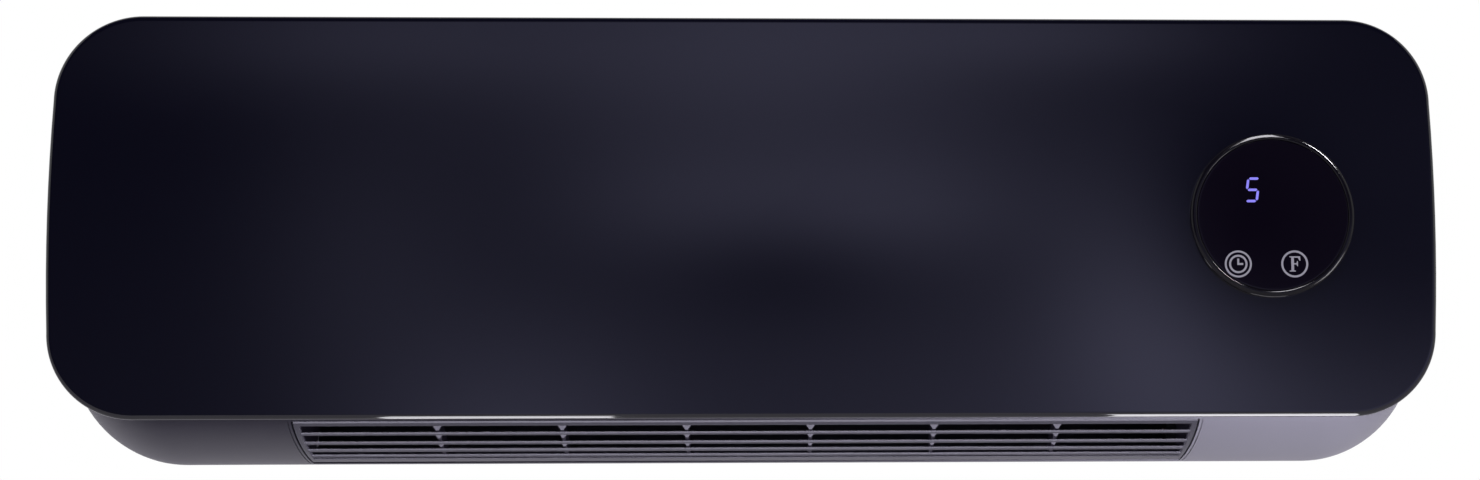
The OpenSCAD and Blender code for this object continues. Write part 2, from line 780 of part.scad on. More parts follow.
// Air channel
duct_d0 = front_d + front_wall + 5.1;
duct_d1 = seam_d - 2.5;
heater_z = -body_h / 2 + 36.5;
heater_top = heater_z + heater_t + 1.5;
plate_low = -body_h / 2 + 12;
plate_top = body_h / 2 - 16.5;
plate_shape = [[duct_d0 + 0.5, heater_z - 10], [duct_d0 + 25, plate_low],
               [seam_d + 8, plate_low], [back_in, plate_low + 18.5],
               [back_in, plate_top - 4], [seam_d + 2, plate_top],
               [neck_end + 8, plate_top - 16], [neck_end + 2, plate_top - 38],
               [neck_end + 2, heater_z + 26], [duct_d0 + 0.5, heater_z + 18]];

module end_plate(x0, x1) {
    bar(plate_shape, x0, x1);
}
module end_plate_left() {
    color(steel)
    difference() {
        end_plate(-plate_x - plate_t, -plate_x);
        rod_x(bearing_r + 0.1, -plate_x - 5, -plate_x + 5, fan_d, fan_z);
        for (k = [0, 1])
            rod_x(2.5, -plate_x - 5, -plate_x + 5, terminal_d(k), terminal_z);
    }
}
module end_plate_right() {
    color(steel)
    difference() {
        end_plate(plate_x, plate_x + plate_t);
        rod_x(11, plate_x - 5, plate_x + 5, fan_d, fan_z);
        rod_x(snout_r + 0.1, plate_x - 5, plate_x + 5, pinion_d, pinion_z);
        for (a = ear_angles)
            rod_x(1.8, plate_x - 1, plate_x + 3, fan_d + ear_r * cos(a), fan_z + ear_r * sin(a));
        rod_x(1.6, plate_x - 1, plate_x + 3, can_d, can_z - can_ear);
    }
}
function polar(r, a) = [fan_d + r * cos(a), fan_z + r * sin(a)];
function bend(p, q, r) =
    [for (k = [1:6]) let (t = k / 6) (1 - t) * (1 - t) * p + 2 * t * (1 - t) * q + t * t * r];
scroll = [for (i = [0:11]) let (a = scroll_from + (scroll_to - scroll_from) * i / 11)
    polar(scroll_r(a), a)];
module air_guide_back() {
    out = scroll[11];
    color(steel)
    difference() {
        bar(strip(concat([[scroll[0][0] + 8, plate_top - 12]], scroll,
                         bend(out, [duct_d1, out[1] - 8], [duct_d1, heater_top - 7]),
                         [[duct_d1, heater_z - 12]]), sheet_t),
            -plate_x, plate_x);
        block([sector_x0 - 2, plate_x + 1], [duct_d1 - 1, duct_d1 + 2],
              [heater_z - 13, pinion_z + pinion_pr + 2.5]);
    }
}
module air_guide_front() {
    tongue = [for (a = [195:-15:150]) polar(fan_r + fan_gap, a)];
    color(steel)
        bar(strip(concat([[duct_d0, heater_z - 8], [duct_d0, heater_top + 1]], tongue,
                         [[tongue[3][0] - 4, plate_top - 6]]), sheet_t),
            -plate_x, plate_x);
}

// Heating element, lying across the outlet duct
heater_l = 2 * (plate_x - heater_side);
rail_t = 3;
tube_t = 5;
core_d0 = duct_d0 + 3;
core_d1 = duct_d1 - 2;
fin_w = (core_d1 - core_d0 - 2 * rail_t - 2 * tube_t) / 3;
fin_t = 0.35;
fin_turns = floor((heater_l - 4) / fin_pitch);
function fin_d0(k) = core_d0 + rail_t + k * (fin_w + tube_t);

module heater_rails() {
    color(steel)
    for (d = [core_d0, core_d1 - rail_t])
        block([-heater_l / 2, heater_l / 2], [d, d + rail_t], [heater_z, heater_z + heater_t]);
}
module heater_tubes() {
    color(cream)
    for (k = [0, 1])
        block([-heater_l / 2, heater_l / 2], [fin_d0(k) + fin_w, fin_d0(k) + fin_w + tube_t],
              [heater_z, heater_z + heater_t]);
}
function fin_line(k) = [
    for (i = [0:2 * fin_turns])
        [-fin_turns * fin_pitch / 2 + i * fin_pitch / 2,
         y_at(fin_d0(k) + (i % 2 == 0 ? fin_t : fin_w - fin_t))]
];
module heater_fins() {
    color(steel)
    for (k = [0:2])
        translate([0, 0, heater_z + 0.5])
            linear_extrude(heater_t - 1)
                polygon(strip(fin_line(k), fin_t));
}
module heater_end(x0, x1) {
    difference() {
        block([x0, x1], [duct_d0, duct_d1], [heater_z - 1.5, heater_z + heater_t + 1.5]);
        block([x0 < 0 ? x0 + 4 : x0 - 1, x0 < 0 ? x1 + 1 : x1 - 4],
              [core_d0 - 0.1, core_d1 + 0.1], [heater_z - 0.1, heater_z + heater_t + 0.1]);
    }
}
holder_over = 3;
holder_l = 11;
module heater_end_left() {
    color(cream)
        heater_end(-heater_l / 2 - holder_l + holder_over, -heater_l / 2 + holder_over);
}
module heater_end_right() {
    color(cream)
        heater_end(heater_l / 2 - holder_over, heater_l / 2 + holder_l - holder_over);
}
module heater_terminals() {
    color(brass)
    for (k = [0, 1])
        block([-heater_l / 2 - holder_l + holder_over - 8, -heater_l / 2 - holder_l + holder_over],
              [fin_d0(k) + fin_w + 2, fin_d0(k) + fin_w + 3],
              [heater_z + heater_t + 1.5 - 9, heater_z + heater_t + 1.5 - 2.7]);
}
safety_z = heater_z - 1;
cutout_x = 44 - plate_x;
fuse_x = cutout_x + 88;
guide_out = duct_d1 + sheet_t;
module thermal_cutout() {
    color(brass)
    union() {
        block([cutout_x - 12, cutout_x + 12], [guide_out, guide_out + 0.6],
              [safety_z - 6, safety_z + 6]);
        rod_y(8, guide_out + 0.5, guide_out + 8, cutout_x, safety_z);
    }
}
module thermal_fuse() {
    color(steel)
    union() {
        rod_x(2, fuse_x - 8, fuse_x + 8, guide_out + 3, safety_z);
        block([fuse_x - 6, fuse_x + 6], [guide_out, guide_out + 2],
              [safety_z - 1.2, safety_z + 1.2]);
    }
}

// Air inlet on the top
grille_pitch = 6;
grille_bar = 2;
module intake_grille() {
    x1 = intake_x - intake_gap;
    d0 = intake_d0 + intake_gap;
    d1 = intake_d1 - intake_gap;
    deep = 6;
    color(dark_plastic)
    union() {
        for (x = [-x1 + 3:grille_pitch:x1 - 3])
            bar([[d0 + 1, rear_top(d0 + 1) - 0.6], [d1 - 1, rear_top(d1 - 1) - 0.6],
                 [d1 - 1, rear_top(d1) - deep], [d0 + 1, rear_top(d1) - deep]],
                x - grille_bar / 2, x + grille_bar / 2);
        for (d = [d0, (d0 + d1) / 2 - 1.25, d1 - 2.5])
            bar([[d, rear_top(d)], [d + 2.5, rear_top(d + 2.5)],
                 [d + 2.5, rear_top(d1) - deep], [d, rear_top(d1) - deep]], -x1, x1);
        for (x = [-x1, x1 - 3])
            bar([[d0, rear_top(d0)], [d1, rear_top(d1)],
                 [d1, rear_top(d1) - deep], [d0, rear_top(d1) - deep]], x, x + 3);
    }
}
filter_z1 = rear_top(intake_d1 - intake_gap) - 6;
filter_t = 2.5;
module intake_filter() {
    x1 = intake_x - 0.6;
    color([0.25, 0.25, 0.27])
    union() {
        difference() {
            block([-x1, x1], [intake_d0 + 0.6, intake_d1 - 0.6], [filter_z1 - filter_t, filter_z1]);
            block([-x1 + 3, x1 - 3], [intake_d0 + 3.6, intake_d1 - 3.6],
                  [filter_z1 - filter_t - 1, filter_z1 + 1]);
        }
        block([-x1 + 2, x1 - 2], [intake_d0 + 3, intake_d1 - 3],
              [filter_z1 - 1.4, filter_z1 - 1.1]);
        for (k = [-3:3])
            block([k * 45 - 1, k * 45 + 1], [intake_d0 + 3, intake_d1 - 3],
                  [filter_z1 - filter_t, filter_z1]);
    }
}
sensor_d = back_in - 13.6;
sensor_z = plate_top - 10;
module room_sensor() {
    color([0.1, 0.1, 0.1])
    union() {
        rod_x(2, plate_x + plate_t, plate_x + plate_t + 10, sensor_d, sensor_z);
        block([plate_x + plate_t, plate_x + plate_t + 2], [sensor_d - 4, sensor_d + 4],
              [sensor_z - 8, sensor_z + 4]);
    }
}

// Power electronics at the left end
board_w = 64;
board_h = 68;
board_x0 = -body_w / 2 + 18;
board_x1 = board_x0 + board_w;
board_z0 = -board_h / 2;
board_z1 = board_h / 2;
board_d = back_in - 17.6;
board_t = 1.6;
post_at = [[board_x0 + 5, board_z0 + 5], [board_x1 - 5, board_z0 + 5],
           [board_x0 + 5, board_z1 - 5], [board_x1 - 5, board_z1 - 5]];
module power_board() {
    color(board_green)
    difference() {
        block([board_x0, board_x1], [board_d, board_d + board_t], [board_z0, board_z1]);
        for (p = post_at)
            rod_y(1.6, board_d - 1, board_d + 3, p[0], p[1]);
    }
}
module board_posts() {
    color(dark_plastic)
    for (p = post_at)
        difference() {
            rod_y(3.5, board_d + board_t, back_in, p[0], p[1]);
            rod_y(1.52, board_d, back_in - 6, p[0], p[1]);
        }
}
module board_parts() {
    color([0.12, 0.14, 0.3])
    union() {
        for (k = [0:1])
            block([board_x0 + 10, board_x0 + 29], [board_d - 15, board_d],
                  [-18 + k * 19, -3 + k * 19]);
        rod_y(6.3, board_d - 20, board_d, board_x0 + 40, 16);
        rod_y(5, board_d - 16, board_d, board_x0 + 40, -2);
        block([board_x0 + 34, board_x0 + 56], [board_d - 16, board_d], [-30, -12]);
        block([board_x0 + 12, board_x0 + 30], [board_d - 9, board_d], [-31, -22]);
        block([board_x0 + 50, board_x0 + 56], [board_d - 8, board_d], [-4, 18]);
    }
}

// Mains switch on the right side
switch_pivot_x = switch_floor + 0.4;
bezel_t = 1.6;
rocker_half = 7.6;
rocker_w = 9.6;
rocker_tilt = 7;
module switch_housing() {
    color([0.08, 0.08, 0.09])
    difference() {
        union() {
            block([switch_floor, switch_floor + bezel_t],
                  [switch_d - 8, switch_d + 8], [switch_z - 11, switch_z + 11]);
            block([switch_floor - 17, switch_floor],
                  [switch_d - switch_hole[0] / 2 + 0.1, switch_d + switch_hole[0] / 2 - 0.1],
                  [switch_z - switch_hole[1] / 2 + 0.1, switch_z + switch_hole[1] / 2 - 0.1]);
        }
        block([switch_floor - 9, switch_floor + bezel_t + 1],
              [switch_d - rocker_w / 2 - 0.3, switch_d + rocker_w / 2 + 0.3],
              [switch_z - rocker_half - 0.7, switch_z + rocker_half + 0.7]);
        rod_y(1.2 + play, switch_d - rocker_w / 2 - 1.3, switch_d + rocker_w / 2 + 1.3,
              switch_pivot_x - 1.6, switch_z);
    }
}
module switch_rocker() {
    color([0.12, 0.12, 0.13])
    union() {
        translate([switch_pivot_x - 1.6, y_at(switch_d + rocker_w / 2), switch_z])
            rotate([90, 0, 0])
                linear_extrude(rocker_w)
                    rotate(-rocker_tilt)
                        polygon([[-4.5, -3], [-1.2, -rocker_half + 1.1], [2.2, -rocker_half],
                                 [4.6, -rocker_half], [3.6, -rocker_half / 2], [3.2, 0],
                                 [3.6, rocker_half / 2], [4.6, rocker_half],
                                 [2.2, rocker_half], [-1.2, rocker_half - 1.1], [-4.5, 3]]);
        rod_y(1.2, switch_d - rocker_w / 2 - 1.1, switch_d + rocker_w / 2 + 1.1,
              switch_pivot_x - 1.6, switch_z);
    }
}
module switch_tabs() {
    color(brass)
    for (k = [-1, 1])
        block([switch_floor - 24, switch_floor - 17], [switch_d - 2.4, switch_d + 2.4],
              [switch_z + k * 4.5 - 0.4, switch_z + k * 4.5 + 0.4]);
}

// Supply entry at the back
block_x = body_w / 2 - 48;
block_z = -18;
module terminal_block() {
    color(cream)
    difference() {
        block([block_x - 16, block_x + 16], [back_in - 15, back_in], [block_z - 9, block_z + 9]);
        for (k = [-1:1])
            rod_y(2.2, back_in - 16, back_in - 5, block_x + k * 10, block_z + 4);
        for (k = [-1:1])
            translate([block_x + k * 10, y_at(back_in - 9), block_z - 10])
                cylinder(r = 2, h = 16);
    }
}
module cable_grommet() {
    color([0.06, 0.06, 0.06])
    difference() {
        union() {
            rod_y(grommet_r, body_d - grommet_l, body_d, grommet_x, grommet_z);
            rod_y(grommet_r + 2, body_d - grommet_l, flange_d, grommet_x, grommet_z);
        }
        rod_y(grommet_bore / 2, body_d - 11, body_d + 1, grommet_x, grommet_z);
    }
}

// Fasteners
head_h = 2.4;
slot_l = 4.4;
slot_t = 0.8;
module screw_y(r, head_r, head_h, tip_d, seat_d, x, z) {
    union() {
        rod_y(r, tip_d, seat_d, x, z);
        rod_y(head_r, seat_d, seat_d + head_h, x, z);
    }
}
module housing_screws() {
    color(steel)
    for (s = shell_screws)
        difference() {
            screw_y(screw_r, screw_head_r, head_h, screw_tip_d, screw_seat_d, s[0], s[1]);
            for (half = [[slot_l / 2, slot_t / 2], [slot_t / 2, slot_l / 2]])
                block([s[0] - half[0], s[0] + half[0]],
                      [screw_seat_d + head_h / 2, screw_seat_d + head_h + 1],
                      [s[1] - half[1], s[1] + half[1]]);
        }
}
module small_screws() {
    color(steel)
    union() {
        for (p = post_at)
            translate([p[0], y_at(board_d), p[1]])
                rotate([-90, 0, 0]) {
                    translate([0, 0, -2])
                        cylinder(r = 2.8, h = 2);
                    cylinder(r = 1.5, h = back_in - 7 - board_d);
                }
        for (a = ear_angles)
            translate([plate_x, y_at(fan_d + ear_r * cos(a)), fan_z + ear_r * sin(a)])
                rotate([0, 90, 0]) {
                    cylinder(r = 1.75, h = motor_x0 - plate_x + 2);
                    translate([0, 0, motor_x0 - plate_x + 2])
                        cylinder(r = 3.2, h = 2.2);
                    translate([0, 0, -1.2])
                        cylinder(r = 3.2, h = 1.2);
                }
        translate([plate_x, y_at(can_d), can_z - can_ear])
            rotate([0, 90, 0]) {
                translate([0, 0, -1.5])
                    cylinder(r = 2.8, h = 1.5);
                cylinder(r = 1.55, h = plate_t + 2);
            }
    }
}

// Leads inside the housing, round in section, with square bends
lead_r = 1.3;
module lead(points) {
    for (i = [0:len(points) - 2])
        let (a = points[i], b = points[i + 1], v = b - a, l = norm(v))
            translate([a[0], y_at(a[1]), a[2]])
                rotate([0, acos(v[2] / l), atan2(v[1], v[0])])
                    cylinder(r = lead_r, h = l);
    for (i = [1:len(points) - 2])
        translate([points[i][0], y_at(points[i][1]), points[i][2]])
            sphere(r = lead_r);
}
terminal_x = -heater_l / 2 - holder_l + holder_over - 8;
terminal_z = heater_z + heater_t - 4.35;
function terminal_d(k) = fin_d0(k) + fin_w + 2.5;
module wiring() {
    low = plate_low + 8.5;
    far = back_in - 8.6;
    near = board_d - 8;
    side = board_x0 + 28;
    color([0.6, 0.1, 0.1])
    union() {
        for (k = [0, 1])
            let (x = board_x0 + 46 + 7 * k)
                lead([[terminal_x, terminal_d(k), terminal_z], [x, terminal_d(k), terminal_z],
                      [x, near, terminal_z], [x, near, board_z0 + 4]]);
        lead([[block_x - 16, far, block_z - 4], [block_x - 26, far, block_z - 4],
              [block_x - 26, far, low], [side, far, low], [side, near + 4, low],
              [side, near + 4, board_z0 + 3]]);
        for (k = [0, 1])
            let (x = block_x + 8 - 4 * k, z = switch_z - 4.5 + 9 * k)
                lead([[switch_floor - 24, switch_d, z], [x, switch_d, z],
                      [x, switch_d, z + 5], [x, back_in - 15, z + 5]]);
    }
}

glass_panel();
glass_pads();
front_shell();
rear_housing();
disc_bezel();
disc_lens();
disc_nut();
display_board();
digit_display();
touch_springs();
infrared_receiver();
outlet_louvre();
louvre_sector();
swing_pinion();
swing_shaft();
swing_motor();
fan_rotor();
stub_shaft();
motor_shaft();
fan_motor();
motor_dampers();
bearing_bush();
bearing_rubber();
air_guide_back();
air_guide_front();
end_plate_left();
end_plate_right();
heater_tubes();
heater_fins();
heater_rails();
heater_end_left();
heater_end_right();
heater_terminals();
thermal_cutout();
thermal_fuse();
intake_grille();
intake_filter();
room_sensor();
power_board();
board_parts();
board_posts();
switch_housing();
switch_rocker();
switch_tabs();
terminal_block();
cable_grommet();
housing_screws();
small_screws();
wiring();
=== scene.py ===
# %% [markdown]
# # A glass panel heater for the wall
#
# The heater is a black glass front on a flared plastic body. Below the glass
# lies a long outlet with a swinging louvre, and a round touch disc sits at the
# right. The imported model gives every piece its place, so this file only adds
# finer skins, finishes, light and the camera.

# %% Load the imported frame
import json
import math
import bpy
import bmesh
from mathutils import Matrix, Vector


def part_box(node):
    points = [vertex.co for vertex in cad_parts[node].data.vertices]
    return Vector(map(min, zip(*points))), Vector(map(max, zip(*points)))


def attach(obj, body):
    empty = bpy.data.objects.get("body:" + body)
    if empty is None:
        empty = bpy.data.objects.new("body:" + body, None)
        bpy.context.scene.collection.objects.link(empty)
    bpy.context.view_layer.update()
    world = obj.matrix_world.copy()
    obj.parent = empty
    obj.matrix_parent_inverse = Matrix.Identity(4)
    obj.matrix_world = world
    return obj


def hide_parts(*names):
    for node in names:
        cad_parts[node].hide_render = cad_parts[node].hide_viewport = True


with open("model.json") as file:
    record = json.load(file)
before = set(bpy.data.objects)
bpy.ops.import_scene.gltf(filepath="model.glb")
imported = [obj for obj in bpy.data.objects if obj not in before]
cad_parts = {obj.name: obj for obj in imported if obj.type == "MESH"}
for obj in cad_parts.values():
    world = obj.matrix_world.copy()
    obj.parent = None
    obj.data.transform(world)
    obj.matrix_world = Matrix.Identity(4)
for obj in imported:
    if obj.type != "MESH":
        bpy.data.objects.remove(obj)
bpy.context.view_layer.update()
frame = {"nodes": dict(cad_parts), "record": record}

# %% [markdown]
# ## Camera
#
# The picture was taken from slightly below and near the middle, with a
# moderate telephoto lens, and its frame was cropped so that the optical axis
# lies right of the centre. A small sideways shift gives that crop without
# turning the camera, which would skew the long edges.

# %% Camera
camera_place = Vector((0.0084, -1.212, -0.143))
yaw, pitch, roll = (math.radians(a) for a in (2.49, 7.121, -0.327))
forward = Vector((math.sin(yaw) * math.cos(pitch), math.cos(yaw) * math.cos(pitch),
                  math.sin(pitch)))
level = Vector((math.cos(yaw), -math.sin(yaw), 0))
upright = level.cross(forward)
right = math.cos(roll) * level + math.sin(roll) * upright
up = math.cos(roll) * upright - math.sin(roll) * level


def in_scene(name, data):
    """A new object in the scene."""
    made = bpy.data.objects.new(name, data)
    bpy.context.scene.collection.objects.link(made)
    return made


camera = in_scene("camera", bpy.data.cameras.new("camera"))
turn = Matrix((right, up, -forward)).transposed()
camera.matrix_world = Matrix.Translation(camera_place) @ turn.to_4x4()
camera.data.sensor_width = 36
camera.data.lens = 66.85
camera.data.shift_x = -0.1
bpy.context.scene.camera = camera
bpy.context.scene.view_settings.view_transform = "Standard"
print("camera:", [round(v, 3) for v in camera_place], "lens", camera.data.lens)

# %% [markdown]
# ## Measures that the pieces share
#
# Depths are counted from the front face of the glass back to the wall, as a
# fitter would count them. The body flares quickly behind the glass and runs
# level at the seam, so one curve gives its width, its underside and its top.

# %% Measures
MM = 0.001
glass_low, glass_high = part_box("glass_panel")
front_y = glass_low.y
shell_low, shell_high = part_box("front_shell")

body_w = shell_high.x - shell_low.x
body_h = shell_high.z - shell_low.z
front_d = shell_low.y - front_y
seam_d = shell_high.y - front_y
full_d = seam_d - 2 * MM
drop_side, drop_bottom, drop_top = 15 * MM, 16.5 * MM, 8 * MM
corner, corner_drop = 46.5 * MM, 12 * MM


def at(x, d, z):
    """A point at a depth behind the glass front."""
    return Vector((x, front_y + d, z))


def flare(d):
    """Share of the flare that is reached at a depth."""
    t = min(1, max(0, (d - front_d) / (full_d - front_d)))
    return (1 - (1 - t) ** 1.6) ** 0.7


print("body %.0f x %.0f mm, seam at %.0f mm" % (body_w / MM, body_h / MM, seam_d / MM))

# %% [markdown]
# ## Writing shader sums as sums
#
# Most finishes here are a small sum: a base value plus a little noise. A class
# that wraps a socket and overloads the operators lets the sum be read as one,
# and a single method adds every other node with its settings and its inputs.

# %% Sockets that can be added and multiplied
class Wire:
    """A socket of a material, used in sums as if it were a number."""

    def __init__(self, tree, socket=None):
        self.tree, self.socket = tree, socket

    def node(self, kind, settings=None, inputs=None, out=0):
        """Adds a node, sets it up, joins its inputs and returns one output."""
        new = self.tree.nodes.new(kind)
        for key, value in (settings or {}).items():
            setattr(new, key, value)
        for key, value in (inputs or {}).items():
            if isinstance(value, Wire):
                self.tree.links.new(value.socket, new.inputs[key])
            else:
                new.inputs[key].default_value = value
        return Wire(self.tree, new.outputs[out])

    def math(self, operation, *values):
        return self.node("ShaderNodeMath", {"operation": operation},
                         dict(enumerate(values)))

    def __add__(self, other):
        return self.math("ADD", self, other)

    def __sub__(self, other):
        return self.math("SUBTRACT", self, other)

    def __rsub__(self, other):
        return self.math("SUBTRACT", other, self)

    def __mul__(self, other):
        return self.math("MULTIPLY", self, other)

    def __truediv__(self, other):
        return self.math("DIVIDE", self, other)

    def __gt__(self, other):
        return self.math("GREATER_THAN", self, other)

    __radd__, __rmul__ = __add__, __mul__


def blend(share, first, second):
    """A colour between two others."""
    return share.node("ShaderNodeMix", {"data_type": "RGBA"},
                      {0: share, 6: first, 7: second}, out=2)


print("sums of sockets can use +, -, *, / and >")

# %% [markdown]
# ## How a finish is made
#
# Real surfaces never have one colour and one gloss. A finish here is a colour,
# a gloss and a grain, and each takes its small changes from noise in the
# piece's own coordinates, so the pattern moves with the piece. Photographs of
# surfaces would do too, but noise needs no file and has no seams.

# %% Helpers for finishes
def start_finish(name, **constants):
    """A new material, with what is the same all over it set on its shader."""
    material = bpy.data.materials.new(name)
    material.use_nodes = True
    shader = material.node_tree.nodes["Principled BSDF"]
    for key, value in constants.items():
        shader.inputs[key.replace("_", " ")].default_value = value
    return material, shader, Wire(material.node_tree)


def plug(shader, **wires):
    """Joins what changes over the surface to the shader."""
    for key, wire in wires.items():
        wire.tree.links.new(wire.socket, shader.inputs[key.replace("_", " ")])


def noise(wire, scale, detail=2.0, stretch=(1, 1, 1)):
    """Even noise from 0 to 1, in the piece's own coordinates."""
    place = wire.node("ShaderNodeTexCoord", out=3)
    place = wire.node("ShaderNodeVectorMath", {"operation": "MULTIPLY"},
                      {0: place, 1: stretch})
    return wire.node("ShaderNodeTexNoise", {}, {"Vector": place, "Scale": scale,
                                                "Detail": detail})


def along_axis(wire, axis):
    """The piece's own coordinate along an axis."""
    place = wire.node("ShaderNodeTexCoord", out=3)
    return wire.node("ShaderNodeSeparateXYZ", {}, {"Vector": place}, out=axis)


def bumped(height, distance):
    """A normal that leans with a height."""
    return height.node("ShaderNodeBump", {}, {"Height": height, "Distance": distance})


def tinted(colour, factor):
    """The colour, lighter or darker by a factor."""
    return tuple(min(1, c * factor) for c in colour) + (1,)


finishes = {}
print("a grey, a tenth lighter:", tinted((0.5, 0.5, 0.5), 1.1))

# %% [markdown]
# ## Plastic, rubber and paint
#
# The body, the fan and most small parts are moulded, so one recipe serves them
# all. Broad clouds and a fine grain shift the colour and the gloss a little,
# and the grain alone leans the surface. A bump is enough for that, because the
# grain is finer than a pixel. The body is a dark, slightly violet grey.

# %% Moulded finishes
def moulded(name, colour, gloss, grain, depth, spread=0.12, specular=0.5):
    """A finish with a grain, whose width and depth are in mm."""
    material, shader, wire = start_finish(name, Specular_IOR_Level=specular)
    cloudy = noise(wire, 14, 3)
    fine = noise(wire, 1 / (grain * MM), 1)
    plug(shader,
         Base_Color=blend(cloudy * 0.7 + fine * 0.3, tinted(colour, 1 - spread),
                          tinted(colour, 1 + spread)),
         Roughness=gloss + (cloudy - 0.5) * 0.12 + (fine - 0.5) * 0.08,
         Normal=bumped(fine, depth * MM))
    return material


for name, *values in (
        ("gloss_black", (0.010, 0.008, 0.015), 0.09, 0.8, 0.002, 0.12, 0.2),
        ("pad_black", (0.02, 0.02, 0.02), 0.85, 0.6, 0.1),
        ("shell_plastic", (0.144, 0.140, 0.170), 0.42, 0.22, 0.01, 0.05, 0.2),
        ("inner_plastic", (0.045, 0.038, 0.065), 0.5, 0.3, 0.02),
        ("fan_plastic", (0.055, 0.045, 0.080), 0.45, 0.3, 0.015),
        ("nylon", (0.02, 0.02, 0.022), 0.42, 0.3, 0.01, 0.05),
        ("heat_plastic", (0.62, 0.58, 0.48), 0.5, 0.3, 0.015, 0.06),
        ("rubber", (0.014, 0.014, 0.014), 0.75, 0.4, 0.03, 0.2),
        ("wire_red", (0.42, 0.02, 0.015), 0.38, 0.5, 0.01, 0.08),
        ("motor_paint", (0.06, 0.063, 0.068), 0.32, 1.2, 0.03, 0.08),
        ("board_green", (0.012, 0.10, 0.045), 0.3, 0.8, 0.02, 0.35)):
    finishes[name] = moulded(name, *values)
print("moulded finishes:", len(finishes))

# %% [markdown]
# ## Metal
#
# Sheet steel in such a heater is zinc plated and shows its flakes. Springs,
# shafts and fins are drawn or rolled, which leaves marks along one direction.
# Noise that is stretched gives the marks, and cells of one shade each give the
# flakes of about 7 mm, so both come from one recipe.

# %% Metal finishes
def metal(name, colour, gloss, stretch=(1, 1, 1), spangle=0.0):
    """Bare metal with drawn marks, and with a share of zinc flakes."""
    grain, depth, per_metre = 0.6 * MM, 0.01 * MM, 140
    material, shader, wire = start_finish(name, Metallic=1.0)
    marks = noise(wire, 1 / grain, 3, stretch)
    place = wire.node("ShaderNodeTexCoord", out=3)
    flakes = wire.node("ShaderNodeTexVoronoi", {}, {"Vector": place, "Scale": per_metre},
                       out=1)
    flake = wire.node("ShaderNodeSeparateColor", {}, {"Color": flakes})
    share = marks * (1 - spangle) + flake * spangle
    plug(shader, Base_Color=blend(share, tinted(colour, 0.8), tinted(colour, 1.15)),
         Roughness=gloss + (share - 0.5) * 0.25, Normal=bumped(marks, depth))
    return material


for name, *values in (
        ("spring_metal", (0.83, 0.70, 0.45), 0.28),
        ("bronze", (0.72, 0.45, 0.22), 0.35),
        ("steel", (0.56, 0.57, 0.58), 0.3, (0.2, 1, 1)),
        ("sheet_steel", (0.60, 0.61, 0.62), 0.38, (1, 1, 1), 0.7),
        ("fin_metal", (0.80, 0.81, 0.82), 0.35, (1, 1, 0.1))):
    finishes[name] = metal(name, *values)
print("with the metals:", len(finishes))

# %% [markdown]
# ## Black glass
#
# The front is clear glass printed black on its back, and the lens is smoked
# plastic. A clear layer over a black one could be built, but from outside both
# are a black mirror, so the colour is almost black and only the gloss changes,
# by faint smears and dust.

# %% Glass finishes
def glass(name, colour, gloss, specular=0.5):
    """Black glass: mirror gloss with faint smears."""
    material, shader, wire = start_finish(name, Specular_IOR_Level=specular)
    smear, smear_edge = noise(wire, 9, 4, (1, 1, 2.5)), 0.56
    dust = noise(wire, 900, 1)
    plug(shader, Base_Color=blend(smear, tinted(colour, 0.9), tinted(colour, 1.1)),
         Roughness=gloss + (smear > smear_edge) * 0.01 + (dust - 0.5) * 0.02)
    return material


finishes["black_glass"] = glass("black_glass", (0.0030, 0.0026, 0.0140), 0.06)
finishes["lens_black"] = glass("lens_black", (0.0125, 0.0082, 0.0210), 0.05, 0.12)
print("with the glass:", len(finishes))

# %% [markdown]
# ## Building skins from rings
#
# Every big piece of this heater is a stack of closed outlines: the glass with
# its ground edge, the flaring body, the bars of the louvre. A block could be
# bent and subdivided to these shapes, but outlines keep the measures exact. So
# one helper joins rings into a skin, and another makes a piece of a mesh, with
# its finish and its body.

# %% Pieces and skins
def add_piece(mesh, name, finish, body="housing", node=None, sharp=30):
    """Makes an object of a mesh, gives it its finish and its body."""
    made = in_scene(name, mesh)
    mesh.name = name
    mesh.shade_smooth()
    mesh.set_sharp_from_angle(angle=math.radians(sharp))
    mesh.materials.clear()
    mesh.materials.append(finishes[finish])
    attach(made, body)
    if node:
        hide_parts(node)
    return made


def band(bm, first, second):
    """Faces between two closed rows of corners."""
    for i in range(len(first)):
        j = (i + 1) % len(first)
        bm.faces.new((first[i], first[j], second[j], second[i]))


def into_mesh(bm, name, outward=True):
    """Ends a bmesh as a mesh, with its faces turned outwards."""
    if outward:
        bmesh.ops.recalc_face_normals(bm, faces=bm.faces)
    mesh = bpy.data.meshes.new(name)
    bm.to_mesh(mesh)
    bm.free()
    return mesh


def skin(rings):
    """A closed mesh through rings of equal count."""
    bm = bmesh.new()
    rows = [[bm.verts.new(p) for p in ring] for ring in rings]
    for first, second in zip(rows, rows[1:]):
        band(bm, first, second)
    for row in (rows[0], rows[-1]):
        bm.faces.new(row)
    return into_mesh(bm, "skin")


print("finishes to choose from:", ", ".join(finishes))

# %% [markdown]
# ## Glass front
#
# The front is one pane of tempered glass with a ground and polished edge, and
# a round hole for the disc. Its short sides bow out by about a millimetre. The
# outline is written out point by point, because a bevelled block would have
# straight sides.

# %% Outline of the glass
glass_w = glass_high.x - glass_low.x
glass_h = glass_high.z - glass_low.z
glass_z = (glass_low.z + glass_high.z) / 2
glass_r, glass_bow = 35 * MM, 1.2 * MM


def arc(radius, x, z, start, steps, sweep=90):
    """Points of a part of a circle round a middle, from an angle in degrees."""
    turns = [math.radians(start + sweep * i / steps) for i in range(steps + 1)]
    return [(x + radius * math.cos(a), z + radius * math.sin(a)) for a in turns]


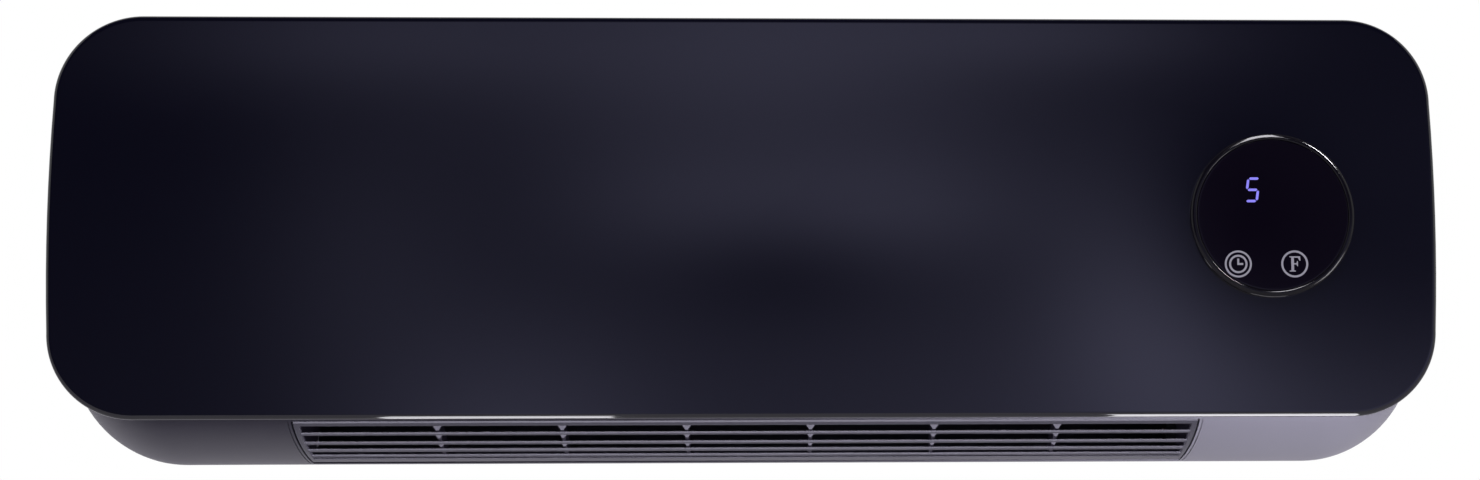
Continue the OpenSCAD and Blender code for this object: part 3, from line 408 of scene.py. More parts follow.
def pane_outline(inset, d, steps=32):
    """Outline of the glass, drawn in by an inset, at a depth."""
    top, side = glass_h / 2, glass_w / 2
    straight = top - glass_r
    centre = side - glass_bow - glass_r
    half = [(side - glass_bow * (k / 4 - 1) ** 2 - inset, straight * (k / 4 - 1))
            for k in range(1, 8)]
    for start, x in ((0, centre), (90, -centre)):
        half += arc(glass_r - inset, x, straight, start, steps)
    return [at(s * x, d, glass_z + s * z) for s in (1, -1) for x, z in half]


print("glass:", round(glass_w / MM), "x", round(glass_h / MM), "mm,",
      len(pane_outline(0, 0)), "corners in its outline")

# %% [markdown]
# ## Pane of glass
#
# The pane is a stack of outlines that follow the quarter rounds of the edge,
# and a second stack that lines the hole. The flat faces are filled between the
# two. A narrow ring next to each edge keeps the large faces truly flat, because
# even a slight lean of a normal there would bend the reflections.

# %% Pane
glass_t = glass_high.y - glass_low.y
glass_edge, flat_rim, hole_rim, chamfer = 1.8 * MM, 0.6 * MM, 0.7 * MM, 0.3 * MM
bezel_low, bezel_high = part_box("disc_bezel")
disc_x = (bezel_low.x + bezel_high.x) / 2
disc_hole, disc_steps = 29 * MM, 96


def circle(radius, x, z, steps=40):
    """Points of a circle round a middle."""
    turns = [2 * math.pi * i / steps for i in range(steps)]
    return [(x + radius * math.cos(a), z + radius * math.sin(a)) for a in turns]


def loop_edges(bm, row):
    """The edges along a closed row of corners."""
    return [bm.edges.get((row[i - 1], row[i])) for i in range(len(row))]


def pane(outer, inner):
    """A mesh of two stacks of rings, with flat faces between their ends."""
    bm = bmesh.new()
    edges = {0: [], -1: []}
    for stack in (outer, inner):
        rows = [[bm.verts.new(p) for p in ring] for ring in stack]
        for first, second in zip(rows, rows[1:]):
            band(bm, first, second)
        for end in edges:
            edges[end] += loop_edges(bm, rows[end])
    for end in edges.values():
        bmesh.ops.triangle_fill(bm, edges=end, use_beauty=True, use_dissolve=False)
    return into_mesh(bm, "pane")


edge_turns = [math.radians(a) for a in range(0, 91, 10)]
front_edge = [(glass_edge * (1 - math.sin(a)), glass_edge * (1 - math.cos(a)))
              for a in edge_turns]
edge_line = ([(glass_edge + flat_rim, 0)] + front_edge
             + [(inset, glass_t - d) for inset, d in reversed(front_edge)]
             + [(glass_edge + flat_rim, glass_t)])
hole_line = [(hole_rim, 0), (chamfer, 0), (0, chamfer),
             (0, glass_t - chamfer), (chamfer, glass_t), (hole_rim, glass_t)]
glass_front = add_piece(
    pane([pane_outline(inset, d) for inset, d in edge_line],
         [[at(x, d, z) for x, z in circle(disc_hole + grow, disc_x, glass_z, disc_steps)]
          for grow, d in hole_line]),
    "glass_front", "black_glass", node="glass_panel", sharp=40)
print("pane:", len(glass_front.data.polygons), "faces")

# %% [markdown]
# ## Outlet and hinge
#
# The outlet is a long slot in the underside, a little shorter at the back. The
# louvre in it swings on two pins near its rear edge. Their places are counted
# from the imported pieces, so the fine skins move with the motion of the model.

# %% Outlet and hinge
pin_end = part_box("outlet_louvre")[1].x
louvre_gap, pin_l = 0.7 * MM, 7 * MM
outlet_x = pin_end - pin_l + louvre_gap
outlet_d0 = front_d + 1.3 * MM
outlet_d1 = seam_d - 6.2 * MM
hinge_d = outlet_d1 - louvre_gap - 3.8 * MM
outlet_taper = 1.8 * MM


def low_z(d):
    """Level of the underside at a depth."""
    return -body_h / 2 + drop_bottom * (1 - flare(d))


def outlet_end(d, inset=0.0):
    """Where the outlet, or the louvre in it, ends sideways at a depth."""
    return outlet_x - inset - outlet_taper * (d - outlet_d0) / (outlet_d1 - outlet_d0)


hinge_z = low_z(hinge_d) + 3.2 * MM
pin_x = outlet_x - louvre_gap + pin_l
print("outlet from", round(outlet_d0 / MM, 1), "to", round(outlet_d1 / MM, 1),
      "mm deep, hinge at", round(hinge_d / MM, 1), "mm")

# %% [markdown]
# ## Lofts of the front shell
#
# The shell behind the glass is one hollow moulding. Its skin is lofted through
# many outlines, closely spaced just behind the glass where the flare is
# steepest, and a second loft lies one wall thickness inside. Thickening a
# single skin would be shorter, but would leave a poor edge at the seam. No
# outline lies close to an end of the outlet, where the cuts come later.

# %% Lofts
def rounded(half, low, high, radius, steps=24):
    """Rounded rectangle in X and Z, anticlockwise as seen from the front."""
    corners = [(half - radius, high - radius, 0), (radius - half, high - radius, 90),
               (radius - half, low + radius, 180), (half - radius, low + radius, 270)]
    return [p for x, z, start in corners for p in arc(radius, x, z, start, steps)]


def shell_section(d, inset=0.0):
    """Outline of the front shell at a depth."""
    short = 1 - flare(d)
    return rounded(body_w / 2 - drop_side * short - inset,
                   -body_h / 2 + drop_bottom * short + inset,
                   body_h / 2 - drop_top * short - inset,
                   corner - corner_drop * short - inset)


wall, clear, past, loft_steps = 2.4 * MM, 0.35 * MM, 1 * MM, 44
shares = [(i / loft_steps) ** 1.9 for i in range(loft_steps + 1)]
depths = [front_d + (full_d - front_d) * s for s in shares]
depths = [d for d in depths if min(abs(d - outlet_d0), abs(d - outlet_d1)) > clear]
outer = [[at(x, d, z) for x, z in shell_section(d)] for d in depths]
outer += [[at(x, seam_d - back, z) for x, z in shell_section(seam_d, inset)]
          for back, inset in ((0.9 * MM, 0.15 * MM), (0.45 * MM, 0.55 * MM), (0, 1.4 * MM))]
inner_depths = [front_d + wall + (seam_d - front_d - wall) * (i / 16) ** 1.5
                for i in range(17)]
inner = [[at(x, d, z) for x, z in shell_section(d, wall)] for d in inner_depths]
inner.append([at(x, seam_d + past, z) for x, z in shell_section(seam_d, wall)])
print("lofts:", len(outer), "outlines outside,", len(inner), "inside")

# %% [markdown]
# ## Bosses
#
# Behind the skin stand six screw bosses and the two blocks that hold the
# louvre's pins. They could be drawn out of the inner skin, but plain rods and
# blocks that are joined to it later are simpler to place.

# %% Bosses
def box_mesh(x, d, z):
    """A plain block between two places in X, depth and Z, used as a tool."""
    corners = ((x[0], z[0]), (x[1], z[0]), (x[1], z[1]), (x[0], z[1]))
    return skin([[at(a, b, c) for a, c in corners] for b in d])


def rod_mesh(radius, d, x, z, steps=40):
    """A plain rod along the depth, used as a tool."""
    return skin([[at(a, b, c) for a, c in circle(radius, x, z, steps)] for b in d])


boss_r, pin_block, hair = 4 * MM, 5 * MM, 0.01 * MM
screw_places = [(s * (body_w / 2 - out), z) for s in (-1, 1)
                for out, z in ((36 * MM, body_h / 2 - 34.5 * MM),
                               (36 * MM, -body_h / 2 + 42.5 * MM),
                               (84 * MM, body_h / 2 - 15.5 * MM))]
bosses = [rod_mesh(boss_r, (front_d + past, seam_d - hair), x, z) for x, z in screw_places]
bosses += [box_mesh(sorted((s * (outlet_x + hair), s * pin_x)),
                    (hinge_d - pin_block, hinge_d + pin_block),
                    (low_z(hinge_d - pin_block) + 0.5 * MM, hinge_z + pin_block))
           for s in (-1, 1)]
print("bosses and blocks:", len(bosses))

# %% [markdown]
# ## Bores, slots and grooves
#
# What is taken away is drawn as solid tools: the bores of the screws, the
# outlet, the slot of the hinge pins and the hole of the disc. Two fine grooves
# beside the outlet are the thin dark lines of the photograph, and follow the
# curve of the underside.

# %% Bores
def side_plate(profile, inner, outer, side):
    """A plate at one side, from a profile of (depth, height) and two places along X."""
    return skin([[at(side * place(d), d, z) for d, z in profile]
                 for place in (inner, outer)])


screw_r, screw_deep, pin_slot = 1.72 * MM, 15 * MM, 1.55 * MM
groove_near, groove_far, groove_deep = 1.0 * MM, 1.35 * MM, 0.45 * MM
holes = [rod_mesh(screw_r, (seam_d - screw_deep, seam_d + past), x, z)
         for x, z in screw_places]
holes.append(skin([[at(s * outlet_end(d), d, z) for s, d in
                    ((-1, outlet_d0), (1, outlet_d0), (1, outlet_d1), (-1, outlet_d1))]
                   for z in (-body_h / 2 - past, low_z(outlet_d0) + 8 * MM)]))
holes.append(box_mesh((-pin_x - past, pin_x + past),
                      (hinge_d - pin_slot, hinge_d + pin_slot),
                      (hinge_z - pin_slot, hinge_z + pin_slot)))
groove_line = [outlet_d0 + (outlet_d1 - outlet_d0) * i / 12 for i in range(13)]
groove = ([(d, low_z(d) + groove_deep) for d in groove_line]
          + [(d, -body_h / 2 - 2 * past) for d in (groove_line[-1], groove_line[0])])
holes += [side_plate(groove, lambda d: outlet_end(d, -groove_near),
                     lambda d: outlet_end(d, -groove_far), s) for s in (-1, 1)]
holes.append(rod_mesh(disc_hole, (front_d - past, front_d + wall + 3 * MM),
                      disc_x, glass_z, disc_steps))
print("tools that cut:", len(holes))

# %% [markdown]
# ## Front shell
#
# Exact booleans hollow the outer loft by the inner one, join the bosses and
# then cut, so that one cut goes through skin and boss alike. Modelling each
# hole into the skin by hand would give cleaner faces, but it would have to be
# done again after each change.

# %% Front shell
def carve(target, tools, how="DIFFERENCE"):
    """Cuts tool meshes out of a mesh, or joins them to it, and returns the new mesh."""
    holder = in_scene("holder", target)
    helpers = []
    for mesh in tools:
        helper = in_scene("helper", mesh)
        step = holder.modifiers.new("carve", "BOOLEAN")
        step.operation, step.object, step.solver = how, helper, "EXACT"
        helpers.append(helper)
    seen = holder.evaluated_get(bpy.context.evaluated_depsgraph_get())
    made = bpy.data.meshes.new_from_object(seen)
    for old in [holder] + helpers:
        bpy.data.objects.remove(old)
    return made


shell_mesh = carve(skin(outer), [skin(inner)])
shell_mesh = carve(shell_mesh, bosses, "UNION")
shell_mesh = carve(shell_mesh, holes)
front_shell = add_piece(shell_mesh, "front_shell_skin", "shell_plastic",
                        node="front_shell", sharp=35)
print("front shell:", len(front_shell.data.polygons), "faces")

# %% [markdown]
# ## Profiles of the louvre
#
# The louvre is a grille that turns the warm air. Every long bar of it is a
# profile drawn out along the outlet, with its corners eased. A bevel on plain
# blocks would do for the straight bars, but not for the curve of the rear bar
# and of the sides, so the corners are eased in the profile.

# %% Louvre profiles
louvre_d0 = outlet_d0 + louvre_gap


def louvre_end(d):
    """Where the louvre ends sideways at a depth."""
    return outlet_end(d, louvre_gap)


def cheek_in(d):
    """Inner face of a side bar, which grows narrower towards the hinge."""
    share = (d - louvre_d0) / (hinge_d - louvre_d0)
    return louvre_end(d) - (2.1 - 0.9 * min(1, share)) * MM


def eased(points, size):
    """A profile of (depth, height) with each corner cut to a small curve."""
    line = []
    for i, here in enumerate(points):
        here, before, after = (Vector(p) for p in (here, points[i - 1],
                                                   points[(i + 1) % len(points)]))
        a = here + (before - here) * min(0.45, size / (before - here).length)
        b = here + (after - here) * min(0.45, size / (after - here).length)
        line += [(1 - t) ** 2 * a + 2 * t * (1 - t) * here + t * t * b
                 for t in (0, 0.33, 0.67, 1)]
    return line


def long_bar(profile, size=0.3 * MM):
    """A profile drawn out along the whole louvre."""
    line = eased(profile, size)
    return skin([[at(s * louvre_end(d), d, z) for d, z in line] for s in (-1, 1)])


print("louvre:", round(2 * louvre_end(louvre_d0) / MM), "mm long in front")

# %% [markdown]
# ## Bars and slats
#
# The grey moulding has a front bar, four slats with round noses, a rear bar,
# and two side bars that end in the hinge pins. An array could repeat one slat,
# but each lies at its own level, so that the closed louvre follows the curve of
# the underside.

# %% Bars and slats
slat_t, slat_l = 1.1 * MM, 5.4 * MM
bar_l, bar_reach = 1.7 * MM, 3.4 * MM
slats = [louvre_d0 + (7.5 + 8.3 * i) * MM for i in range(4)]
bar_top = low_z(louvre_d0) + 6 * MM


def hinge_rod(radius, ends):
    """A rod round the hinge line, between two places along X."""
    return skin([[at(x, d, z) for d, z in circle(radius, hinge_d, hinge_z, 32)]
                 for x in ends])


face = [long_bar([(louvre_d0, low_z(louvre_d0)),
                  (louvre_d0 + bar_l, low_z(louvre_d0 + bar_l)),
                  (louvre_d0 + bar_reach, bar_top), (louvre_d0 + 2 * MM, bar_top)])]
for d in slats:
    z = low_z(d)
    nose = arc(slat_t / 2, d, z + slat_t / 2, 90, 12, sweep=180)
    face.append(long_bar(nose + [(d + slat_l, z), (d + slat_l, z + slat_t)], 0.1 * MM))
rear_line = [hinge_d - 6.1 * MM * (1 - i / 8) for i in range(9)]
rear_top = low_z(rear_line[0]) + 0.3 * MM
face.append(long_bar([(d, low_z(d)) for d in rear_line]
                     + [(hinge_d, rear_top), (rear_line[0], rear_top)], 0.1 * MM))
cheek_line = [louvre_d0 + (hinge_d - louvre_d0) * i / 16 for i in range(17)]
cheek = ([(d, low_z(d)) for d in cheek_line]
         + [(hinge_d + 3 * MM, hinge_z), (hinge_d + 4 * MM, hinge_z + 11 * MM),
            (hinge_d - 5 * MM, hinge_z + 12.5 * MM),
            (louvre_d0 + 6 * MM, bar_top + 1 * MM), (louvre_d0 + 2 * MM, bar_top)])
for s in (-1, 1):
    face.append(side_plate(eased(cheek, 0.3 * MM), cheek_in, louvre_end, s))
    face.append(hinge_rod(1.5 * MM, (s * (cheek_in(hinge_d) + 0.2 * MM), s * pin_end)))
print("bars, slats, sides and pins:", len(face))

# %% [markdown]
# ## Ribs, liners and gussets
#
# Six ribs hold the slats from inside, and a thin black lining covers the inner
# side of each side bar. The louvre is one grey moulding, but ribs, linings and
# the hinge barrel are black as painted shade, so that the slots look dark and
# deep, and are a piece of their own for that. Of the ribs only small grey
# gussets show on the outer face, each a short bar with a V profile.

# %% Ribs
rib_t, rib_step, gusset_l = 1.5 * MM, 50 * MM, 1.6 * MM
# Linings: thin black sheets of painted shade over the inner faces of the side bars
shade_liner = [(d, low_z(d) + 1.5 * MM) for d in cheek_line[2:-2]] + cheek[-4:-1]
# each gusset: depth, width in mm, level, height in mm
gussets = [(louvre_d0 + 4.6 * MM, 3.2, low_z(louvre_d0 + bar_l), 1.5)]
gussets += [(d + 3.0 * MM, wide, low_z(d), drop)
            for d, wide, drop in zip(slats, (2.7, 2.3), (1.2, 0.9))]
ribs = [side_plate(shade_liner, lambda d: cheek_in(d) - 0.35 * MM,
                   lambda d: cheek_in(d) + 0.1 * MM, s) for s in (-1, 1)]
ribs.append(hinge_rod(3.2 * MM, [s * (cheek_in(hinge_d) + 0.3 * MM) for s in (-1, 1)]))
for k in range(6):
    x = (k - 2.5) * rib_step
    for d, wide, top, drop in gussets:
        vee = [(-0.5 * wide, 0.3), (-0.5 * wide, 0), (-0.15 * wide, -drop),
               (0.15 * wide, -drop), (0.5 * wide, 0), (0.5 * wide, 0.3)]
        face.append(skin([[at(x + a * MM, b, top + c * MM) for a, c in vee]
                          for b in (d, d + gusset_l)]))
    low_line = [(louvre_d0 + 2 * MM, low_z(louvre_d0) + 1 * MM)]
    low_line += [(d + step * MM, low_z(d) + 0.5 * MM) for d in slats for step in (0.8, 4.4)]
    rib_line = low_line + [(hinge_d, hinge_z), (hinge_d - 6 * MM, hinge_z + 5 * MM),
                           (louvre_d0 + 2.6 * MM, bar_top - 0.4 * MM)]
    ribs.append(skin([[at(x + s * rib_t / 2, d, z) for d, z in rib_line] for s in (-1, 1)]))


def together(meshes):
    """One mesh of several."""
    bm = bmesh.new()
    for mesh in meshes:
        bm.from_mesh(mesh)
    return into_mesh(bm, "together", outward=False)


louvre_face = add_piece(together(face), "louvre_face", "shell_plastic", body="louvre",
                        node="outlet_louvre", sharp=50)
# Ribs, linings and barrel are black as painted shade in the slots
add_piece(together(ribs), "louvre_ribs_painted_shade", "inner_plastic", body="louvre")
print("louvre:", len(face), "grey pieces,", len(ribs), "black pieces")

# %% [markdown]
# ## Rim of the disc
#
# The control is a glossy ring with a smoked lens in it. The ring's narrow
# rounded rim catches the lamps as short arcs, so its profile is turned in fine
# steps. A torus would be quicker, but its section is a circle and this one is
# a flat dome.

# %% Rim
def turned(profile, centre, steps=192):
    """A closed profile of (radius, depth), turned round the middle (x, z)."""
    bm = bmesh.new()
    rows = []
    for i in range(steps):
        a = 2 * math.pi * i / steps
        rows.append([bm.verts.new(at(centre[0] + r * math.cos(a), d,
                                     centre[1] + r * math.sin(a))) for r, d in profile])
    for k, row in enumerate(rows):
        band(bm, row, rows[(k + 1) % steps])
    bmesh.ops.remove_doubles(bm, verts=bm.verts, dist=1e-7)
    return into_mesh(bm, "turned")


rim_r = (bezel_high.x - bezel_low.x) / 2
rise = front_y - bezel_low.y
lens_r = rim_r - 2.6 * MM
neck_r = disc_hole - 0.3 * MM
dome_w, dome_h = 1.9 * MM, 1.25 * MM
neck_t, seat_d = 2 * MM, -rise + 2.3 * MM
neck_end = bezel_high.y - front_y
rim_profile = ([(neck_r - neck_t, neck_end), (neck_r - neck_t, seat_d),
                (lens_r + 0.1 * MM, seat_d)]
               + arc(0.6 * MM, lens_r + 0.7 * MM, -rise + 0.6 * MM, 180, 10)
               + [(rim_r - dome_w * (1 - math.sin(t)), dome_h * (1 - math.cos(t)) - rise)
                  for t in (math.radians(6 * i) for i in range(1, 16))]
               + [(rim_r, 0), (neck_r, 0), (neck_r, neck_end)])
disc_rim = add_piece(turned(rim_profile, (disc_x, glass_z)), "disc_rim",
                     "gloss_black", node="disc_bezel", sharp=50)
print("disc:", round(2 * rim_r / MM), "mm across,", round(rise / MM, 1), "mm proud")

# %% [markdown]
# ## Lens of the disc
#
# The lens is the smooth black face that the finger touches, set a little below
# the ring. A cylinder with a bevel would do, but the helper for the ring turns
# a plate with a small round at its edge just as well.

# %% Lens
lens_d = -rise + 0.3 * MM
lens_profile = ([(0, lens_d + 2 * MM), (0, lens_d), (lens_r - 0.8 * MM, lens_d)]
                + arc(0.3 * MM, lens_r - 0.3 * MM, lens_d + 0.3 * MM, 270, 4)
                + [(lens_r, lens_d + 2 * MM)])
add_piece(turned(lens_profile, (disc_x, glass_z)), "disc_face", "lens_black",
          node="disc_lens", sharp=50)
print("lens:", round(2 * lens_r / MM), "mm across")

# %% [markdown]
# ## Light of the figures
#
# A lit digit and two printed touch symbols show through the lens. Lamps behind a
# clear lens would be true to the digit, but slow and noisy. So the figures lie
# just on the lens and give off their own light, a bright blue for the digit and
# a weak grey for the symbols. On the printed symbols that weak glow is painted
# light, which stands in for lamp light on the print.

# %% Finishes that give light
def emitting(name, colour, strength):
    """Lit plastic, or ink that glows as painted light, with a faint cloudiness in its
    light.
    """
    material, shader, wire = start_finish(name, Roughness=0.4, Emission_Strength=strength,
                                          Base_Color=tinted(colour, 0.3))
    glow = noise(wire, 300, 1)
    plug(shader, Emission_Color=blend(glow, tinted(colour, 0.85), tinted(colour, 1.1)))
    return material


finishes["lit_digit"] = emitting("lit_digit", (0.25, 0.22, 0.86), 1.1)
# The printed symbols glow weakly: painted light on the print
finishes["symbol_ink_painted_glow"] = emitting("symbol_ink_painted_glow", (0.45, 0.43, 0.52), 0.55)
print("with the lit ones:", len(finishes))

# %% [markdown]
# ## Digit
#
# The digit has the six-sided bars of a seven-segment display and leans a
# little. A text object would bring its own letter forms, so each bar is drawn
# from its two ends, with a gap to the next.

# %% Digit
figure_d = lens_d - 0.04 * MM


def flat_figure(name, shapes, finish):
    """Thin plates from outlines in mm round the disc's middle, just proud of the lens."""
    bm = bmesh.new()
    for outlines in shapes:
        sides = ([], [])
        for line in outlines:
            rows = [[bm.verts.new(at(disc_x + x * MM, d, glass_z + z * MM))
                     for x, z in line] for d in (figure_d, lens_d)]
            band(bm, *rows)
            for side, row in zip(sides, rows):
                side.extend(loop_edges(bm, row))
        for side in sides:
            bmesh.ops.triangle_fill(bm, edges=side, use_beauty=True, use_dissolve=False)
    return add_piece(into_mesh(bm, name), name, finish)


def bar_line(a, b, width):
    """Outline of a six-sided bar between two points, with pointed ends."""
    along = (b - a).normalized()
    across = Vector((-along.y, along.x)) * width / 2
    cut = along * width / 2
    return [a, a + cut - across, b - cut - across, b, b - cut + across, a + cut + across]


digit_x, digit_z, digit_w, digit_h = -10.4, 5.7, 4.5, 9.2
bar_w, bar_gap, lean = 1.0, 0.25, 0.14
# ends of the five lit bars, counted in widths and half heights of the digit
digit_bars = [((0, 2), (1, 2)), ((0, 1), (0, 2)), ((0, 1), (1, 1)),
              ((1, 0), (1, 1)), ((0, 0), (1, 0))]
digit_middle = digit_z + digit_h / 2
digit_shapes = []
for ends in digit_bars:
    start, end = (Vector((digit_x + x * digit_w, digit_z + z * digit_h / 2))
                  for x, z in ends)
    way = (end - start).normalized() * bar_gap
    digit_shapes.append([[(x + lean * z - lean * digit_middle, z)
                          for x, z in bar_line(start + way, end - way, bar_w)]])
flat_figure("digit_five", digit_shapes, "lit_digit")
print("digit:", len(digit_shapes), "bars,", round(digit_h, 1), "mm high")

# %% [markdown]
# ## Touch symbols
#
# The symbols are thin printed rings, one with a pair of clock hands and one
# with a letter F that has serifs. They are outlines too, filled flat, which
# keeps their edges crisp at any size, unlike a picture on the lens.

# %% Symbols
def ring_shape(x, z, radius, width):
    """A flat ring, as its outer and its inner outline."""
    return [circle(r, x, z, 64) for r in (radius, radius - width)]


clock_x, letter_x, symbol_z, symbol_r = -14.6, 8.4, -20.0, 5.5
hands = [(-0.4, 2.2), (-0.4, -0.4), (2.0, -0.4), (2.0, 0.4), (0.4, 0.4), (0.4, 2.2)]
flat_figure("symbol_clock",
            [ring_shape(clock_x, symbol_z, symbol_r, 0.75),
             ring_shape(clock_x, symbol_z, 3.75, 0.8),
             [[(clock_x + x, symbol_z + z) for x, z in hands]]], "symbol_ink_painted_glow")

letter = [(-2.1, -3.1), (0.4, -3.1), (0.4, -2.75), (-0.3, -2.6), (-0.3, -0.2), (0.7, -0.2),
          (1.0, -0.95), (1.3, -0.95), (1.3, 1.2), (1.0, 1.2), (0.7, 0.3), (-0.3, 0.3),
          (-0.3, 2.55), (1.3, 2.55), (2.0, 1.3), (2.35, 1.3), (2.25, 3.1), (-2.1, 3.1),
          (-2.1, 2.75), (-1.4, 2.6), (-1.4, -2.6), (-2.1, -2.75)]
flat_figure("symbol_letter",
            [ring_shape(letter_x, symbol_z, symbol_r, 0.8),
             [[(letter_x + x, symbol_z + z) for x, z in letter]]], "symbol_ink_painted_glow")
print("symbols:", round(2 * symbol_r), "mm across")

# %% [markdown]
# ## Dust mesh
#
# Behind the intake lies a filter of fine net. Real threads would be thousands
# of pieces, so the net is a plain sheet that is open between its threads.

# %% Filter finish
finishes["filter_mesh"], shader, wire = start_finish("filter_mesh", Roughness=0.6)
pitch, opening = 1.6 * MM, 0.62
threads = [wire.math("FRACT", along_axis(wire, axis) / pitch) > opening
           for axis in (0, 1)]
plug(shader, Base_Color=blend(noise(wire, 800, 1), (0.03, 0.03, 0.033, 1),
                              (0.06, 0.06, 0.064, 1)),
     Alpha=wire.math("MAXIMUM", *threads))
print("all finishes:", len(finishes))

# %% [markdown]
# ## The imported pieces
#
# All other pieces are shown as packed. Each gets its finish, a weld that joins
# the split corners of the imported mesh, soft shading below a fold of thirty
# degrees, and a fine bevel, because no real edge is perfectly sharp. A node
# group does the weld and the shading, so that one recipe serves every piece.

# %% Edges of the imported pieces
soft_group = bpy.data.node_groups.new("weld_and_soften", "GeometryNodeTree")
for way in ("INPUT", "OUTPUT"):
    soft_group.interface.new_socket("Geometry", in_out=way,
                                    socket_type="NodeSocketGeometry")
wire = Wire(soft_group)
welded = wire.node("GeometryNodeMergeByDistance", {},
                   {"Geometry": wire.node("NodeGroupInput"), "Distance": 2e-6})
gentle = wire.node("FunctionNodeCompare", {"operation": "LESS_THAN"},
                   {0: wire.node("GeometryNodeInputMeshEdgeAngle"), 1: math.radians(30)})
faces = wire.node("GeometryNodeSetShadeSmooth", {"domain": "FACE"},
                  {"Geometry": welded, "Shade Smooth": True})
edges = wire.node("GeometryNodeSetShadeSmooth", {"domain": "EDGE"},
                  {"Geometry": faces, "Shade Smooth": gentle})
soft_group.links.new(edges.socket, soft_group.nodes.new("NodeGroupOutput").inputs[0])

# bevel widths in mm: the pieces that are seen and touched, and all others
fine_bevel = {"rear_housing": 0.3, "intake_grille": 0.25, "switch_housing": 0.3,
              "switch_rocker": 0.5, "cable_grommet": 0.4}
plain_bevel = 0.12
for part in frame["record"]["subparts"]:
    node, slot_name = part["node"], part["material_slot"]
    piece = frame["nodes"][node]
    if piece.hide_render:
        continue
    piece.data.materials.clear()
    piece.data.materials.append(finishes[slot_name])
    soften = piece.modifiers.new("soften", "NODES")
    soften.node_group = soft_group
    bevel = piece.modifiers.new("fine_bevel", "BEVEL")
    bevel.width, bevel.segments = fine_bevel.get(node, plain_bevel) * MM, 2
    bevel.limit_method, bevel.angle_limit = "ANGLE", math.radians(40)
    bevel.harden_normals = True
print("packed pieces finished:", sum(not o.hide_render for o in frame["nodes"].values()))

# %% [markdown]
# ## World
#
# The heater hangs in front of white. The world is white for the eye, for
# reflections and through glass, and softer as a lamp, so the dark body keeps
# its depth. A white wall behind it would do as well, but would throw its own
# light on the back.

# %% World
def seen_directly(wire):
    """One where a ray comes from the eye, from gloss or through glass."""
    camera_ray, gloss_ray, through = (wire.node("ShaderNodeLightPath", out=k)
                                      for k in (0, 3, 6))
    return wire.math("MAXIMUM", camera_ray, wire.math("MAXIMUM", gloss_ray, through))


ambient = 0.38
world = bpy.data.worlds.new("studio")
world.use_nodes = True
bpy.context.scene.world = world
wire = Wire(world.node_tree)
strength = ambient + seen_directly(wire) * (1 - ambient)
background = world.node_tree.nodes["Background"]
background.inputs["Color"].default_value = (1, 1, 1, 1)
world.node_tree.links.new(strength.socket, background.inputs["Strength"])
print("world: white to the eye,", ambient, "as a lamp")

# %% [markdown]
# ## Floor
#
# The floor is pale and lies well below, out of the camera's view, and its light
# lifts the underside of the body. For that light it is darker to the left and
# in front, as if dark cloths lay there, so that the underside grows brighter to
# the right and towards the wall, as in the photograph.

# %% Floor
def sheet(name, rows, half):
    """A sheet through rows of (y, z), which reaches half its width to either side."""
    mesh = bpy.data.meshes.new(name)
    mesh.from_pydata([(x, y, z) for y, z in rows for x in (-half, half)], [],
                     [(i, i + 1, i + 3, i + 2) for i in range(0, 2 * len(rows) - 2, 2)])
    return in_scene(name, mesh)


def slope(wire, axis, start, end):
    """A smooth rise from 0 to 1 between two places along an axis."""
    return wire.node("ShaderNodeMapRange", {"interpolation_type": "SMOOTHSTEP"},
                     {"Value": along_axis(wire, axis), "From Min": start, "From Max": end})


floor_z, floor_reach, floor_lift = -0.30, 6, 0.45
dim, bright = (0.165, 0.15, 0.195, 1), (0.47, 0.44, 0.54, 1)
pale, paler = (0.80, 0.775, 0.84, 1), (0.84, 0.815, 0.88, 1)
floor = sheet("floor", [(-floor_reach, floor_z), (floor_reach, floor_z)], floor_reach)
floor_finish, shader, wire = start_finish("floor_pale", Roughness=0.9)
tone = noise(wire, 2)
share = slope(wire, 1, -0.60, 0.0) * slope(wire, 0, -0.45, 0.35)
plug(shader, Base_Color=blend(seen_directly(wire), blend(share, dim, bright),
                              blend(tone, pale, paler)))
lift = wire.node("ShaderNodeEmission", {}, {"Color": (0.98, 0.95, 1.02, 1),
                                            "Strength": seen_directly(wire) * floor_lift})
both = wire.node("ShaderNodeAddShader", {},
                 {0: Wire(wire.tree, shader.outputs[0]), 1: lift})
wire.tree.links.new(both.socket, wire.tree.nodes["Material Output"].inputs["Surface"])
floor.data.materials.append(floor_finish)
print("floor: at", floor_z, "m")

# %% [markdown]
# ## What the glass reflects
#
# Black glass shows almost only its surroundings. Behind the camera hangs a
# large dark drape with a few soft pools of light on it, and these pools are
# what the front of the heater reflects. Mirroring the camera in the glass
# tells where on the drape each place of the glass looks.

# %% Where the glass looks
drape_y, drape_half = -2.5, 2.6
mirrored = Vector((camera_place.x, 2 * front_y - camera_place.y, camera_place.z))
reach = (drape_y - mirrored.y) / (front_y - mirrored.y)


def on_drape(x, z):
    """Where the glass at a place (x, z) in mm looks on the drape."""
    return (mirrored.x + reach * (x * MM - mirrored.x),
            mirrored.z + reach * (z * MM - mirrored.z))


print("the middle of the glass looks at", [round(v, 2) for v in on_drape(0, 0)])

# %% [markdown]
# ## Pools of light
#
# In a studio the pools would be lamps behind a diffuser. Here each pool is a
# bell curve across and up the drape, and pools with a minus take light away.
# As a lamp the drape is much dimmer, so the pools hardly light the body.

# %% Pools of light
drape_finish = bpy.data.materials.new("drape")
drape_finish.use_nodes = True
wire = Wire(drape_finish.node_tree)
wire.tree.nodes.remove(wire.tree.nodes["Principled BSDF"])
across, height = along_axis(wire, 0), along_axis(wire, 2)


def pool(x, z, wide, high, strength):
    """A soft pool of light that the glass shows at a place, all in mm on the glass."""
    middle_x, middle_z = on_drape(x, z)
    along = (across - middle_x) / (reach * wide * MM)
    over = (height - middle_z) / (reach * high * MM)
    return wire.math("EXPONENT", (along * along + over * over) * -1) * strength


